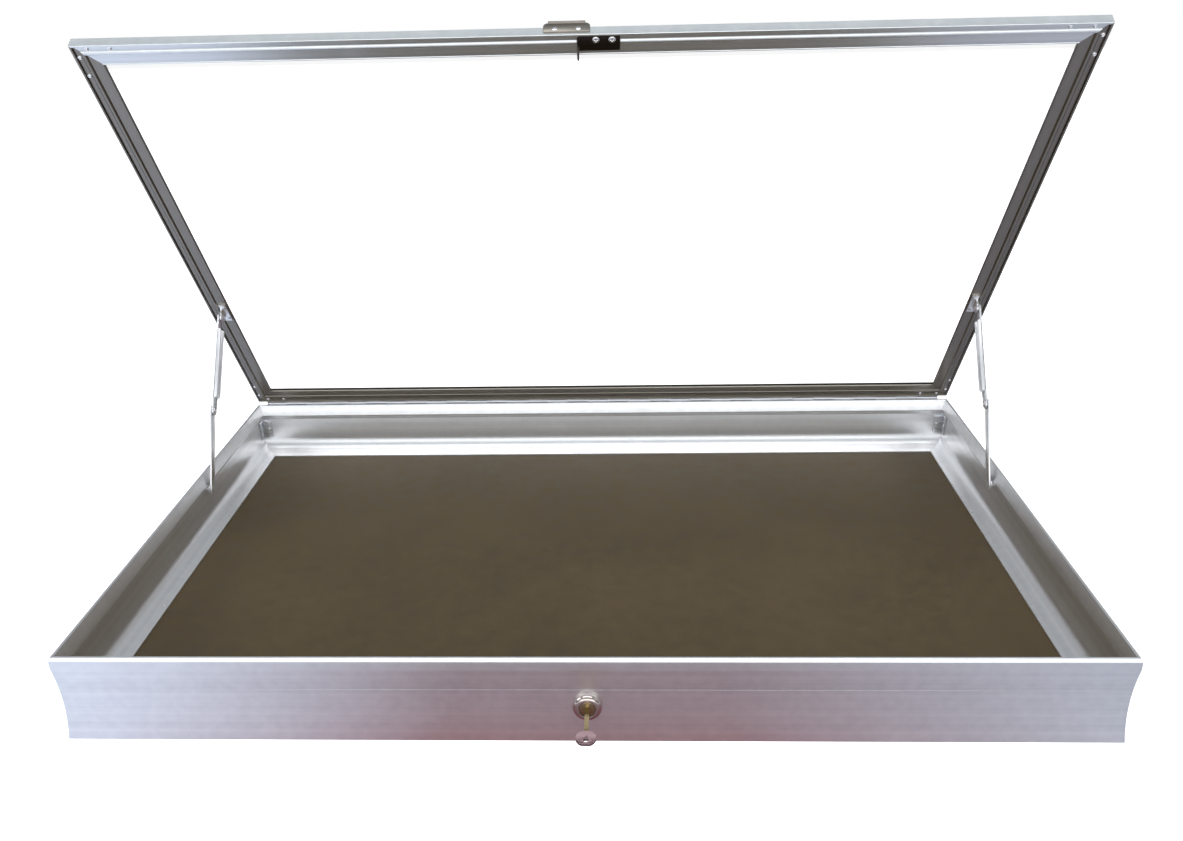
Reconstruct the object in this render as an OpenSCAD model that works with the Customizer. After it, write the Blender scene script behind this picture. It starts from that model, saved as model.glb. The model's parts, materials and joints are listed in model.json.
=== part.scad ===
// Low glazed frame: a shallow mitred aluminium case with a hinged, glazed lid,
// held open by a folding stay at each end and closed by a key-operated cam lock.
// Millimetres. +Z up, the front faces -Y, and the origin is the middle of the footprint.

/* [Case] */
// Overall width of the case
case_w = 864; // [600:1:1200]
// Overall depth of the case, front to rear
case_d = 559; // [440:1:800]
// Height of the case rails
case_h = 80; // [76:1:110]
// Wall thickness of the case extrusion
skin = 1.8; // [1.4:0.1:2.2]
// How far the hollowed outer face dips inward
cove_depth = 3; // [2:0.5:5]
// Height of the deepest point of the hollowed face
cove_z = 30; // [26:1:34]
// Height of the flat land at the top of the outer face
land_h = 10; // [9:0.5:13]
// Width of the flat on top of the rim
lip_w = 3.5; // [3:0.1:4.5]
// How far the crease under the rim stands in from the outer face
bead_u = 7; // [6.2:0.1:7.4]
// How far the crease lies below the top of the rim
bead_drop = 12.5; // [11:0.5:15]

/* [Base panel] */
// Thickness of the hardboard base
panel_t = 3.2; // [2.4:0.1:5]
// Height of the underside of the base panel
panel_z = 12.9; // [8:0.1:14]
// How far the panel channel reaches in from the outer face
web_end = 20; // [18:0.5:26]

/* [Lid] */
// Angle at which the stays hold the lid
lid_open = 53.5; // [40:0.5:60]
// Thickness of the lid frame
lid_t = 8; // [7.8:0.2:12]
// Width of the lid frame seen from below
lid_face = 22; // [20:0.5:28]
// Width of the hollow part of the lid frame
tube_w = 12; // [11:0.5:13]
// Wall thickness of the lid extrusion
lid_wall = 1.5; // [1.2:0.1:1.8]
// How far the outer lip of the lid hangs below its underside
lip_drop = 1.8; // [1.6:0.1:3]
// Gap between the rim and the lip of the closed lid
lid_gap = 1; // [0.8:0.1:2]
// Setback of the lid ends from the case ends
lid_inset = 1.2; // [0.5:0.1:3]
// Thickness of the glass
glass_t = 3; // [2.5:0.5:4]

/* [Hinge] */
// Outer radius of the hinge barrel
barrel_r = 2.4; // [2.1:0.1:2.8]
// Radius of the hinge pin
pin_r = 1; // [0.8:0.1:1.3]
// Thickness of the hinge leaves
leaf_t = 1.2; // [1:0.1:1.5]
// Number of hinge knuckles, an odd number
knuckles = 33; // [21:2:45]

/* [Stays] */
// Distance of the lid pivot from the rear edge of the lid
stay_reach = 187; // [182:1:190]
// Distance of the wall pivot from the rear edge of the case
stay_foot = 205.5; // [200:0.5:210]
// Depth of the wall pivot below the top of the rim
foot_drop = 19; // [17:1:20]
// How much longer the straightened stay is than its open span
stay_slack = 0.7; // [0.4:0.1:4]
// How much shorter the folded stay is than its closed span
stay_fold = 3; // [1:0.5:6]
// Width of the stay links
link_w = 11; // [8:0.5:11]
// Thickness of the stay links
link_t = 1.8; // [1.4:0.1:2]

/* [Lock] */
// Height of the lock centre
lock_z = 34; // [32:1:38]
// Radius of the lock head
head_r = 12; // [10.5:0.1:12.5]
// How far the lock head stands out
head_out = 6; // [4:0.5:8]
// Radius of the threaded lock barrel
lock_r = 8; // [7.5:0.1:8.5]
// Length of the lock barrel behind the head
lock_len = 16; // [15:0.5:22]
// Length of key shank between the lock and the bow
key_shank = 28; // [18:1:32]

/* [Hidden] */

$fn = 48;
fit = 0.05;            // radial clearance of pins and rivets
slip = 0.3;            // clearance between parts that slide past each other
eps = 0.01;
tall = 400;            // height of cutting blocks

// Case section
land_z = case_h - land_h;
cove_r = ((land_z - cove_z)^2 + cove_depth^2) / (2 * cove_depth);
function cove_u(z) = cove_depth - cove_r + sqrt(cove_r^2 - (z - cove_z)^2);
skin_u = cove_depth + skin;
function wall_in(z) = cove_depth - cove_r + sqrt((cove_r + skin)^2 - (z - cove_z)^2);
bead_z = case_h - bead_drop;
bead_edge = 1.2;       // height of the small upright face at the crease
bead_foot = 6;         // how far below the crease the bead runs out
lip_round = 1.2;       // radius of the outer top edge
web_r = 16;            // radius of the inside sweep above the panel
web_turn = 55;         // angle through which the sweep turns
web_top = cove_z + 7;  // height at which the sweep leaves the wall
web_mid = [wall_in(web_top) + web_r, web_top];
web_meet = acos((web_mid.x - skin_u) / (web_r + skin));
web_knee = web_mid - web_r * [cos(web_turn), sin(web_turn)];
web_tip = [web_end, web_knee.y - (web_end - web_knee.x) / tan(web_turn)];
nose_w = 3;            // flat under the end of the sweep
panel_gap = 0.2;       // play of the panel in its channel
panel_top = panel_z + panel_t;
shelf_t = 1.6;         // thickness of the shelf under the panel
shelf_end = web_end;
foot_w = 8;            // width of the foot along the bottom edge
panel_edge = skin_u + 0.3; // distance of the panel edge from the outer face
mitre = 40;            // depth of the mitre cuts

// Lid section, measured from the underside of the closed lid
lid_z = case_h + lid_gap + lip_drop;
lip_t = 2;             // thickness of the outer lip
edge_r = 0.8;          // radius of the small bead along the inner edge
lid_w = case_w - 2 * lid_inset;
rib_w = 5;             // width of the rounded rib under the frame
rib_h = 1.4;           // how far that rib stands down
rib_r = ((rib_w / 2)^2 + rib_h^2) / (2 * rib_h);
rib_u = tube_w - rib_w / 2 - 0.4;
seal_t = 0.6;          // thickness of the seal under the glass
glass_z = lid_wall + seal_t;
glass_u = tube_w + 0.8;
bead_t = 1.6;          // thickness of the glazing beads
bead_w = 8;            // width of the glazing beads

// Hinge
axis_y = case_d / 2 + barrel_r + slip;
axis_z = case_h + lid_gap / 2;
hinge_len = case_w - 24;
knuckle = hinge_len / knuckles;
leaf_clear = barrel_r + 0.4;
leaf_rivets = 8;
leaf_pitch = (hinge_len - 60) / (leaf_rivets - 1);
leaf_case_z = case_h - land_h + 0.6;
leaf_lid_z = lid_z + lid_t - 1;
leaf_case_rivet_z = (leaf_case_z + axis_z - leaf_clear) / 2;
leaf_lid_rivet_z = (leaf_lid_z + axis_z + leaf_clear) / 2;
leaf_rivet_r = 1.2;
leaf_head_r = 2.2;
leaf_head_h = 0.9;

// Stays, in the plane of the left end wall
link_gap = 0.5;
lower_x = max(skin_u, bead_u) + 2.3;
upper_x = lower_x + link_t + link_gap;
lug_x = upper_x + link_t + link_gap;
lug_t = 1.8;
lug_w = lid_inset + lid_face - 2 * edge_r - 0.2 - lug_x; // width of the plate under the lid
lug_screw_at = [-9, 9]; // rivets of that plate, from the lid pivot
stay_drop = 7.5;       // distance of the lid pivot below the lid
stay_pin_r = 2;
stay_head_r = 3.4;
stay_head_h = 1;
stay_cap_h = 0.35;     // height of the heads that lie between the links
foot = [case_d / 2 - stay_foot, case_h - foot_drop];
wall_pin_in = lower_x - wall_in(foot.y) + skin - 0.3; // the wall pivot stops inside the skin
hinge_axis = [axis_y, axis_z];
function turned(p, a) = [p.x * cos(a) - p.y * sin(a), p.x * sin(a) + p.y * cos(a)];
top_closed = [case_d / 2 - stay_reach, lid_z - stay_drop];
top = hinge_axis + turned(top_closed - hinge_axis, -lid_open);
span = norm(top - foot);
span_dir = atan2(top.y - foot.y, top.x - foot.x);
lower_len = (span + stay_slack - norm(top_closed - foot) + stay_fold) / 2;
upper_len = span + stay_slack - lower_len;
foot_turn = acos((lower_len^2 + span^2 - upper_len^2) / (2 * lower_len * span));
lower_dir = span_dir + foot_turn;
elbow = foot + lower_len * [cos(lower_dir), sin(lower_dir)];
upper_dir = atan2(elbow.y - top.y, elbow.x - top.x);
flange_h = 3;          // depth of the folded edges of the upper link
spring_t = 0.6;
spring_w = 5;
spring_at = 58;        // distance of the spring rivet from the lid pivot

// Lock
lock_x = 1.5;
lock_seat = cove_u(lock_z + head_r);
lock_end = lock_seat + lock_len;
nut_t = 3.2;
nut_r = 10.4;          // corner radius of the hexagon
pocket_r = 12;         // clearance cut through the sweep behind the lock
plug_r = 5.2;
plug_face_r = 6.6;
plug_face_t = 1.2;
key_w = 3.8;
key_t = 1.8;
key_in = 15;           // how far the blade reaches into the plug
key_fit = 0.2;         // clearance around the blade
bow_w = 16;
bow_l = 16;
drive = 6;             // side of the square that drives the cam
cam_t = 1.6;
cam_u = lock_end + 0.4;
cam_nose = 4.5;        // height of the hooked nose
cam_w = 6;
cam_tilt = 3;          // angle of the arm below the level when unlocked
nose_sweep = 16;       // how far the nose reaches past the level
riser_r = 12.2;

// Strike plate
strike_x = lock_x - 3.5;
strike_len = 34;
strike_t = 1.5;
strike_u = 2.8;
strike_w = 14;
tab_w = 7.8;
tab_drop = 13.8;
tab_u = strike_u + strike_w - tab_w;
cam_arm_u = tab_u + (tab_w - cam_t) / 2; // the arm runs through the middle of the tab's window
window_w = 4.4;
window_h = 7.2;
window_z = lid_z - tab_drop + 2.4;
cam_reach = window_z + window_h - 0.8 - lock_z;
strike_screw_x = [strike_x + 14, strike_x + 27.5];
strike_screw_u = 5.6;
strike_head_h = 1.3;

// Finger pull
pull_x = -12;
pull_w = 39;
pull_low = 1;          // height of its lower edge above the underside of the lid
pull_rise = 5;         // how far it stands above the lid
pull_t = 1.4;
pull_roll = 1.5;
pull_corner = 4;

// Fastener patterns
panel_rivet_x = [-0.25 * case_w, -19, 19, 0.25 * case_w];
panel_rivet_y = [-0.18 * case_d, 0.16 * case_d];
panel_rivet_u = (web_knee.x + web_end) / 2;
panel_rivet_r = 1.6;
panel_head_r = 2.6;
corner_leg = 16;
corner_t = 1.5;
corner_low = web_top + 0.5;
corner_high = bead_z - bead_foot - 1;
corner_rivet_at = 12.4;
corner_rivet_r = 0.9;
corner_head_r = 1.6;
groove_z = cove_z + 19; // height of the fine groove on the outer face
groove_h = 0.8;
groove_in = 0.4;
key_leg = 40;
key_play = 0.15;
screw_at = [13.5, 33.3];
screw_u = (lip_t + rib_u - rib_w / 2) / 2;
screw_r = 1.4;
screw_head_r = (rib_u - rib_w / 2 - lip_t) / 2 - 0.1;
screw_head_h = 1.2;

// ---------- helpers ----------

// A 2D section (x inward from the outer face, y up) run along the front edge of a
// rectangle and cut square or mitred at its ends.
module run(length, dist) {
  intersection() {
    translate([0, -dist, 0]) rotate([90, 0, 90]) linear_extrude(length, center = true) children();
    translate([0, 0, -tall / 2]) linear_extrude(tall)
      polygon([[-length / 2, -dist], [length / 2, -dist],
               [length / 2 - mitre, mitre - dist], [mitre - length / 2, mitre - dist]]);
  }
}
module front_run(w, d) run(w, d / 2) children();
module rear_run(w, d) mirror([0, 1, 0]) run(w, d / 2) children();
module left_run(w, d) rotate([0, 0, -90]) run(d, w / 2) children();
module right_run(w, d) mirror([1, 0, 0]) left_run(w, d) children();

// The closed lid turned open about the hinge axis.
module opened() {
  translate([0, axis_y, axis_z]) rotate([-lid_open, 0, 0]) translate([0, -axis_y, -axis_z]) children();
}

// A shape given for the left end, copied to the side wanted: -1 left, 1 right.
module on_side(side) {
  if (side < 0) children();
  else mirror([1, 0, 0]) children();
}

// A rivet or screw along -Z from the origin, with a low domed head above it.
module domed(shank_r, shank_l, rim_r, rim_h) {
  ball = (rim_r^2 + rim_h^2) / (2 * rim_h);
  intersection() {
    translate([0, 0, rim_h - ball]) sphere(ball);
    cylinder(r = rim_r + eps, h = rim_h + 1);
  }
  translate([0, 0, -shank_l]) cylinder(r = shank_r, h = shank_l + eps);
}

// A cross recess for a screw head, cut downward from height z.
module cross_recess(z, size) {
  for (a = [0, 90]) rotate([0, 0, a]) translate([-size / 2, -size / 8, z - 0.6]) cube([size, size / 4, 2]);
}

// ---------- case ----------

// Points on a circle from one angle to another.
function arc(middle, r, from, to, steps) =
  [for (i = [0 : steps]) let (a = from + (to - from) * i / steps) middle + r * [cos(a), sin(a)]];

// Points on the outer or inner face of the hollowed wall between two heights.
function wall_arc(inward, z_from, z_to, steps) =
  arc([cove_depth - cove_r, cove_z], cove_r + inward, asin((z_from - cove_z) / (cove_r + inward)),
      asin((z_to - cove_z) / (cove_r + inward)), steps);

module case_section() {
  polygon(concat(
    // outer face, with its fine groove, up to the rounded rim
    wall_arc(0, 0, groove_z, 12),
    [[cove_u(groove_z) + groove_in, groove_z], [cove_u(groove_z) + groove_in, groove_z + groove_h]],
    wall_arc(0, groove_z + groove_h, land_z, 6),
    arc([lip_round, case_h - lip_round], lip_round, 180, 90, 4),
    // inside of the rim down to the crease, then the inner face
    [[lip_w, case_h], [bead_u, bead_z], [bead_u, bead_z - bead_edge]],
    wall_arc(skin, bead_z - bead_foot, web_top + 1, 6),
    // sweep to the edge that holds the panel down, and back under it
    arc(web_mid, web_r, 180, 180 + web_turn, 12),
    [web_tip, [web_end, panel_top + panel_gap], [web_end - nose_w, panel_top + panel_gap]],
    arc(web_mid, web_r + skin, 180 + web_turn, 180 + web_meet, 8),
    wall_arc(skin, web_mid.y - (web_r + skin) * sin(web_meet) - 1, panel_z, 4),
    // shelf under the panel, and the foot
    [[shelf_end, panel_z], [shelf_end, panel_z - shelf_t]],
    wall_arc(skin, panel_z - shelf_t, shelf_t, 3),
    [[cove_u(0) + foot_w, shelf_t], [cove_u(0) + foot_w, 0]]));
}

module panel_rivet_places() {
  for (x = panel_rivet_x, s = [-1, 1]) translate([x, s * (case_d / 2 - panel_rivet_u), 0]) children();
  for (y = panel_rivet_y, s = [-1, 1]) translate([s * (case_w / 2 - panel_rivet_u), y, 0]) children();
}
panel_seat = web_tip.y + (web_end - panel_rivet_u - panel_head_r) / tan(web_turn);

// Holes and flat seats for the rivets that hold the panel.
module panel_rivet_cuts() {
  panel_rivet_places() {
    translate([0, 0, panel_z - 10]) cylinder(r = panel_rivet_r + fit, h = 30);
    translate([0, 0, panel_seat]) cylinder(r = panel_head_r + 0.2, h = 20);
  }
}

module corner_rivet_places() {
  z = (corner_low + corner_high) / 2;
  u = cove_u(z) + skin + corner_t;
  for (sx = [-1, 1], sy = [-1, 1]) {
    translate([sx * (case_w / 2 - corner_rivet_at), sy * (case_d / 2 - u), z])
      rotate([sy * 90, 0, 0]) children();
    translate([sx * (case_w / 2 - u), sy * (case_d / 2 - corner_rivet_at), z])
      rotate([0, -sx * 90, 0]) children();
  }
}
module corner_rivet_cuts() {
  corner_rivet_places() {
    translate([0, 0, -corner_t - 1.3]) cylinder(r = corner_rivet_r + fit, h = 6);
    cylinder(r = corner_head_r + 0.1, h = 3);
  }
}

module case_cuts() {
  panel_rivet_cuts();
  corner_rivet_cuts();
}

module front_rail() {
  color("silver") difference() {
    front_run(case_w, case_d) case_section();
    case_cuts();
    translate([lock_x, -case_d / 2, lock_z]) rotate([-90, 0, 0]) {
      cylinder(r = lock_r + fit, h = 60);
      translate([0, 0, skin_u]) cylinder(r = pocket_r, h = 60);
    }
  }
}

module rear_rail() {
  color("silver") difference() {
    rear_run(case_w, case_d) case_section();
    case_cuts();
    hinge_rivet_places(leaf_case_rivet_z) translate([0, 0, -6]) cylinder(r = leaf_rivet_r + fit, h = 12);
  }
}

module side_rail(side) {
  color("silver") difference() {
    on_side(side) left_run(case_w, case_d) case_section();
    case_cuts();
    on_side(side) wall_pin_place() translate([0, 0, -wall_pin_in - 0.2])
      cylinder(r = stay_pin_r + fit, h = 12);
  }
}
module left_rail() side_rail(-1);
module right_rail() side_rail(1);

module base_panel() {
  w = case_w - 2 * panel_edge;
  d = case_d - 2 * panel_edge;
  color("saddlebrown") difference() {
    translate([-w / 2, -d / 2, panel_z]) cube([w, d, panel_t]);
    panel_rivet_places() translate([0, 0, panel_z - 1]) cylinder(r = panel_rivet_r + fit, h = panel_t + 2);
  }
}

module panel_rivets() {
  color("gainsboro") panel_rivet_places() translate([0, 0, panel_seat]) {
    domed(panel_rivet_r, panel_seat - panel_z + shelf_t, panel_head_r, 1.2);
    translate([0, 0, panel_z - shelf_t - panel_seat]) mirror([0, 0, 1])
      domed(panel_rivet_r, 0.1, panel_head_r, 1);
  }
}

// An angle bracket that follows the inside of two walls at a corner.
module bracket_section() {
  polygon(concat(wall_arc(skin, corner_low, corner_high, 6),
                 wall_arc(skin + corner_t, corner_high, corner_low, 6)));
}
module corner_bracket(sx, sy) {
  color("lightgray") difference() {
    mirror([sx > 0 ? 1 : 0, 0, 0]) mirror([0, sy > 0 ? 1 : 0, 0]) intersection() {
      union() {
        front_run(case_w, case_d) bracket_section();
        left_run(case_w, case_d) bracket_section();
      }
      translate([-case_w / 2, -case_d / 2, 0]) cube([corner_leg, corner_leg, case_h]);
    }
    corner_rivet_cuts();
  }
}
module corner_bracket_front_left() corner_bracket(-1, -1);
module corner_bracket_front_right() corner_bracket(1, -1);
module corner_bracket_rear_left() corner_bracket(-1, 1);
module corner_bracket_rear_right() corner_bracket(1, 1);

module corner_rivets() {
  color("gainsboro") corner_rivet_places() domed(corner_rivet_r, corner_t + 1.1, corner_head_r, 0.7);
}

// ---------- hinge ----------

module hinge_rivet_places(z) {
  for (i = [0 : leaf_rivets - 1])
    translate([(i - (leaf_rivets - 1) / 2) * leaf_pitch, case_d / 2 + leaf_t, z])
      rotate([-90, 0, 0]) children();
}

// Barrel and upright strip along the whole hinge, with every second knuckle removed.
module knuckle_row(first, up) {
  difference() {
    union() {
      translate([-hinge_len / 2, axis_y, axis_z]) rotate([0, 90, 0]) cylinder(r = barrel_r, h = hinge_len);
      translate([-hinge_len / 2, case_d / 2, up > 0 ? axis_z : axis_z - leaf_clear - eps])
        cube([hinge_len, leaf_t, leaf_clear + eps]);
    }
    for (i = [first : 2 : knuckles - 1])
      translate([i * knuckle - hinge_len / 2 - slip / 2, case_d / 2 - 1, axis_z - 2 * barrel_r])
        cube([knuckle + slip, 4 * barrel_r, 4 * barrel_r]);
    for (end = [-1, 1]) translate([end * hinge_len / 2 - slip, case_d / 2 - 1, axis_z - 2 * barrel_r])
      cube([2 * slip, 4 * barrel_r, 4 * barrel_r]);
    translate([-case_w / 2, axis_y, axis_z]) rotate([0, 90, 0])
      cylinder(r = pin_r + (up > 0 ? fit : 0), h = case_w);
  }
}

module hinge_leaf_case() {
  color("lightsteelblue") difference() {
    union() {
      translate([-hinge_len / 2, case_d / 2, leaf_case_z])
        cube([hinge_len, leaf_t, axis_z - leaf_clear - leaf_case_z]);
      knuckle_row(1, -1);
    }
    hinge_rivet_places(leaf_case_rivet_z) translate([0, 0, -3]) cylinder(r = leaf_rivet_r + fit, h = 6);
  }
}

module hinge_leaf_lid() {
  color("lightsteelblue") opened() difference() {
    union() {
      translate([-hinge_len / 2, case_d / 2, axis_z + leaf_clear])
        cube([hinge_len, leaf_t, leaf_lid_z - axis_z - leaf_clear]);
      knuckle_row(0, 1);
    }
    hinge_rivet_places(leaf_lid_rivet_z) translate([0, 0, -3]) cylinder(r = leaf_rivet_r + fit, h = 6);
  }
}

module hinge_pin() {
  color("gray") translate([-hinge_len / 2, axis_y, axis_z]) rotate([0, 90, 0])
    cylinder(r = pin_r, h = hinge_len);
}

module hinge_case_rivets() {
  color("gainsboro") hinge_rivet_places(leaf_case_rivet_z)
    domed(leaf_rivet_r, leaf_t + skin, leaf_head_r, leaf_head_h);
}

module hinge_lid_rivets() {
  color("gainsboro") opened() hinge_rivet_places(leaf_lid_rivet_z)
    domed(leaf_rivet_r, leaf_t + lid_wall, leaf_head_r, leaf_head_h);
}

// ---------- lock ----------

// Frame of the lock: +Z runs into the case from its outer face, +X stays to the right.
module lock_frame() {
  translate([lock_x, -case_d / 2, lock_z]) rotate([-90, 0, 0]) children();
}

module lock_body() {
  color("gainsboro") lock_frame() difference() {
    union() {
      translate([0, 0, lock_seat]) cylinder(r = lock_r, h = lock_len);
      translate([0, 0, lock_seat - 2]) cylinder(r = head_r, h = 2);
      translate([0, 0, lock_seat - head_out])
        cylinder(r1 = head_r - 1.6, r2 = head_r, h = head_out - 2 + eps);
    }
    cylinder(r = plug_r + fit, h = 3 * lock_len, center = true);
    translate([0, 0, lock_seat - head_out - 1]) cylinder(r = plug_face_r + slip, h = 1 + plug_face_t + 0.8);
  }
}

module lock_nut() {
  color("silver") lock_frame() translate([0, 0, skin_u]) difference() {
    cylinder(r = nut_r, h = nut_t, $fn = 6);
    translate([0, 0, -1]) cylinder(r = lock_r, h = nut_t + 2);
  }
}

plug_front = lock_seat - head_out + 0.7;
module lock_plug() {
  color("goldenrod") lock_frame() difference() {
    union() {
      translate([0, 0, plug_front]) cylinder(r = plug_face_r, h = plug_face_t);
      translate([0, 0, plug_front]) cylinder(r = plug_r, h = cam_u - plug_front);
      translate([-drive / 2, -drive / 2, cam_u - 1]) cube([drive, drive, cam_t + 1]);
    }
    translate([-key_w / 2 - key_fit, -key_t / 2 - key_fit, plug_front - 1])
      cube([key_w + 2 * key_fit, key_t + 2 * key_fit, key_in + 2]);
    translate([0, 0, cam_u - 2]) cylinder(r = 1.6, h = 8);
  }
}

// The unlocked cam: hub, riser and arm, with a hooked nose that sweeps up into the strike.
module lock_cam() {
  color("darkgray") lock_frame() rotate([0, 0, cam_tilt]) {
    difference() {
      translate([0, 0, cam_u]) linear_extrude(cam_t) union() {
        circle(8);
        translate([0, -cam_w / 2]) square([riser_r + cam_t, cam_w]);
      }
      translate([0, 0, cam_u - 1]) rotate([0, 0, -cam_tilt]) linear_extrude(cam_t + 2)
        square(drive + 2 * fit, center = true);
    }
    translate([riser_r, -cam_w / 2, cam_arm_u]) cube([cam_t, cam_w, cam_u + cam_t - cam_arm_u]);
    translate([riser_r, -cam_w / 2, cam_arm_u]) cube([cam_reach - riser_r - 1, cam_w, cam_t]);
    translate([0, 0, cam_arm_u]) linear_extrude(cam_t) intersection() {
      difference() {
        circle(cam_reach, $fn = 96);
        circle(cam_reach - cam_nose, $fn = 96);
      }
      polygon([[0, 0], [2 * cam_reach, 0],
               2 * cam_reach * [cos(nose_sweep + cam_tilt), -sin(nose_sweep + cam_tilt)]]);
    }
  }
}

module cam_screw() {
  color("gainsboro") lock_frame() translate([0, 0, cam_u + cam_t]) difference() {
    domed(1.6 - fit, 3, 4.4, 2);
    cross_recess(2, 4);
  }
}

module key() {
  out = plug_front - key_shank;
  color("darkkhaki") lock_frame() {
    translate([-key_w / 2, -key_t / 2, out]) cube([key_w, key_t, key_shank + key_in]);
    translate([0, key_t / 2 + 0.3, out + eps]) rotate([90, 0, 0]) linear_extrude(key_t + 0.6) difference() {
      polygon([[-4, 0], [4, 0], [bow_w / 2, -5], [bow_w / 2, 5 - bow_l], [5, -bow_l], [-5, -bow_l],
               [-bow_w / 2, 5 - bow_l], [-bow_w / 2, -5]]);
      translate([0, 5 - bow_l]) circle(1.8);
    }
  }
}

// ---------- lid ----------

module lid_section() {
  difference() {
    square([tube_w, lid_t]);
    translate([lid_wall, lid_wall]) square([tube_w - 2 * lid_wall, lid_t - 2 * lid_wall]);
  }
  translate([tube_w - eps, 0]) square([lid_face - tube_w + eps, lid_wall]);
  translate([0, -lip_drop]) square([lip_t, lip_drop + eps]);
  translate([lid_face - edge_r, edge_r / 2]) circle(edge_r);
  intersection() {
    translate([rib_u, rib_r - rib_h]) circle(rib_r, $fn = 96);
    translate([rib_u - rib_w, -2 * rib_h]) square([2 * rib_w, 2 * rib_h + lid_wall / 2]);
  }
}

module lid_screw_places() {
  for (sx = [-1, 1], sy = [-1, 1], a = screw_at) {
    translate([sx * (lid_w / 2 - a), sy * (case_d / 2 - screw_u), lid_z]) rotate([180, 0, 0]) children();
    translate([sx * (lid_w / 2 - screw_u), sy * (case_d / 2 - a), lid_z]) rotate([180, 0, 0]) children();
  }
}
module lid_screw_cuts() {
  lid_screw_places() translate([0, 0, -lid_t + lid_wall + 1]) cylinder(r = screw_r + fit, h = lid_t);
}

module strike_screw_places() {
  for (x = strike_screw_x)
    translate([x, strike_screw_u - case_d / 2, lid_z - strike_t]) rotate([180, 0, 0]) children();
}
module pull_rivet_places() {
  for (s = [-1, 1]) translate([pull_x + s * pull_w / 4, -case_d / 2 - pull_t, lid_z + lid_t / 2])
    rotate([90, 0, 0]) children();
}

module lid_front_rail() {
  color("silver") opened() difference() {
    translate([0, 0, lid_z]) front_run(lid_w, case_d) lid_section();
    lid_screw_cuts();
    // the rib is cleared under the strike plate
    translate([strike_x - strike_t - slip, -case_d / 2 - 1, lid_z - 2 * rib_h])
      cube([strike_len + strike_t + 2 * slip, lid_face, 2 * rib_h]);
    strike_screw_places() translate([0, 0, -5]) cylinder(r = screw_r + fit, h = 5);
    pull_rivet_places() translate([0, 0, -pull_t - 3]) cylinder(r = leaf_rivet_r + fit, h = 6);
  }
}

module lid_rear_rail() {
  color("silver") opened() difference() {
    translate([0, 0, lid_z]) rear_run(lid_w, case_d) lid_section();
    lid_screw_cuts();
    hinge_rivet_places(leaf_lid_rivet_z) translate([0, 0, -leaf_t - 3])
      cylinder(r = leaf_rivet_r + fit, h = 6);
  }
}

module lid_side_rail(side) {
  color("silver") opened() difference() {
    translate([0, 0, lid_z]) on_side(side) left_run(lid_w, case_d) lid_section();
    lid_screw_cuts();
    on_side(side) lid_bracket_screw_places() translate([0, 0, -4]) cylinder(r = leaf_rivet_r + fit, h = 6);
  }
}
module lid_left_rail() lid_side_rail(-1);
module lid_right_rail() lid_side_rail(1);

module key_section() {
  translate([lid_wall + key_play, lid_wall + key_play])
    square([tube_w - 2 * lid_wall - 2 * key_play, lid_t - 2 * lid_wall - 2 * key_play]);
}
module lid_corner_keys() {
  color("dimgray") opened() difference() {
    for (sx = [-1, 1], sy = [-1, 1]) intersection() {
      translate([0, 0, lid_z]) union() {
        if (sy < 0) front_run(lid_w, case_d) key_section();
        if (sy > 0) rear_run(lid_w, case_d) key_section();
        if (sx < 0) left_run(lid_w, case_d) key_section();
        if (sx > 0) right_run(lid_w, case_d) key_section();
      }
      translate([sx * (lid_w - key_leg) / 2, sy * (case_d - key_leg) / 2, lid_z])
        cube([key_leg, key_leg, tall], center = true);
    }
    lid_screw_places() translate([0, 0, -lid_t]) cylinder(r = screw_r, h = lid_t);
  }
}

module lid_corner_screws() {
  color("gainsboro") opened() lid_screw_places() difference() {
    domed(screw_r, lid_t - lid_wall - 1.5, screw_head_r, screw_head_h);
    cross_recess(screw_head_h, 2.2);
  }
}

// A flat rectangle inside the lid frame, between two distances from its outer edge.
module lid_plate(outer, inner, z, t) {
  translate([0, 0, lid_z + z]) linear_extrude(t) difference() {
    square([lid_w - 2 * outer, case_d - 2 * outer], center = true);
    if (inner > 0) square([lid_w - 2 * inner, case_d - 2 * inner], center = true);
  }
}

module glass_pane() {
  color("lightcyan", 0.4) opened() lid_plate(glass_u, 0, glass_z, glass_t);
}
module glazing_seal() {
  color("black") opened() lid_plate(glass_u, lid_face - 1, lid_wall, seal_t);
}

// A snap-in bead over the edge of the glass.
module bead_section() {
  z = glass_z + glass_t;
  polygon([[tube_w, z], [tube_w + bead_w, z], [tube_w + bead_w, z + 0.8],
           [tube_w + bead_t, lid_t - 0.6], [tube_w, lid_t - 0.6]]);
}
module glazing_bead_front() {
  color("gainsboro") opened() translate([0, 0, lid_z]) front_run(lid_w, case_d) bead_section();
}
module glazing_bead_rear() {
  color("gainsboro") opened() translate([0, 0, lid_z]) rear_run(lid_w, case_d) bead_section();
}
module glazing_bead_left() {
  color("gainsboro") opened() translate([0, 0, lid_z]) left_run(lid_w, case_d) bead_section();
}
module glazing_bead_right() {
  color("gainsboro") opened() translate([0, 0, lid_z]) right_run(lid_w, case_d) bead_section();
}

// The strike: a flat plate under the front of the lid with a windowed tab bent down at one end.
module strike_plate() {
  color("dimgray") opened() difference() {
    union() {
      translate([strike_x - strike_t, strike_u - case_d / 2, lid_z - strike_t])
        cube([strike_len + strike_t, strike_w, strike_t]);
      translate([strike_x - strike_t, tab_u - case_d / 2, lid_z - tab_drop])
        cube([strike_t, tab_w, tab_drop]);
    }
    translate([strike_x - 3, tab_u + (tab_w - window_w) / 2 - case_d / 2, window_z])
      cube([6, window_w, window_h]);
    strike_screw_places() translate([0, 0, -5]) cylinder(r = screw_r + fit, h = 6);
  }
}

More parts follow.
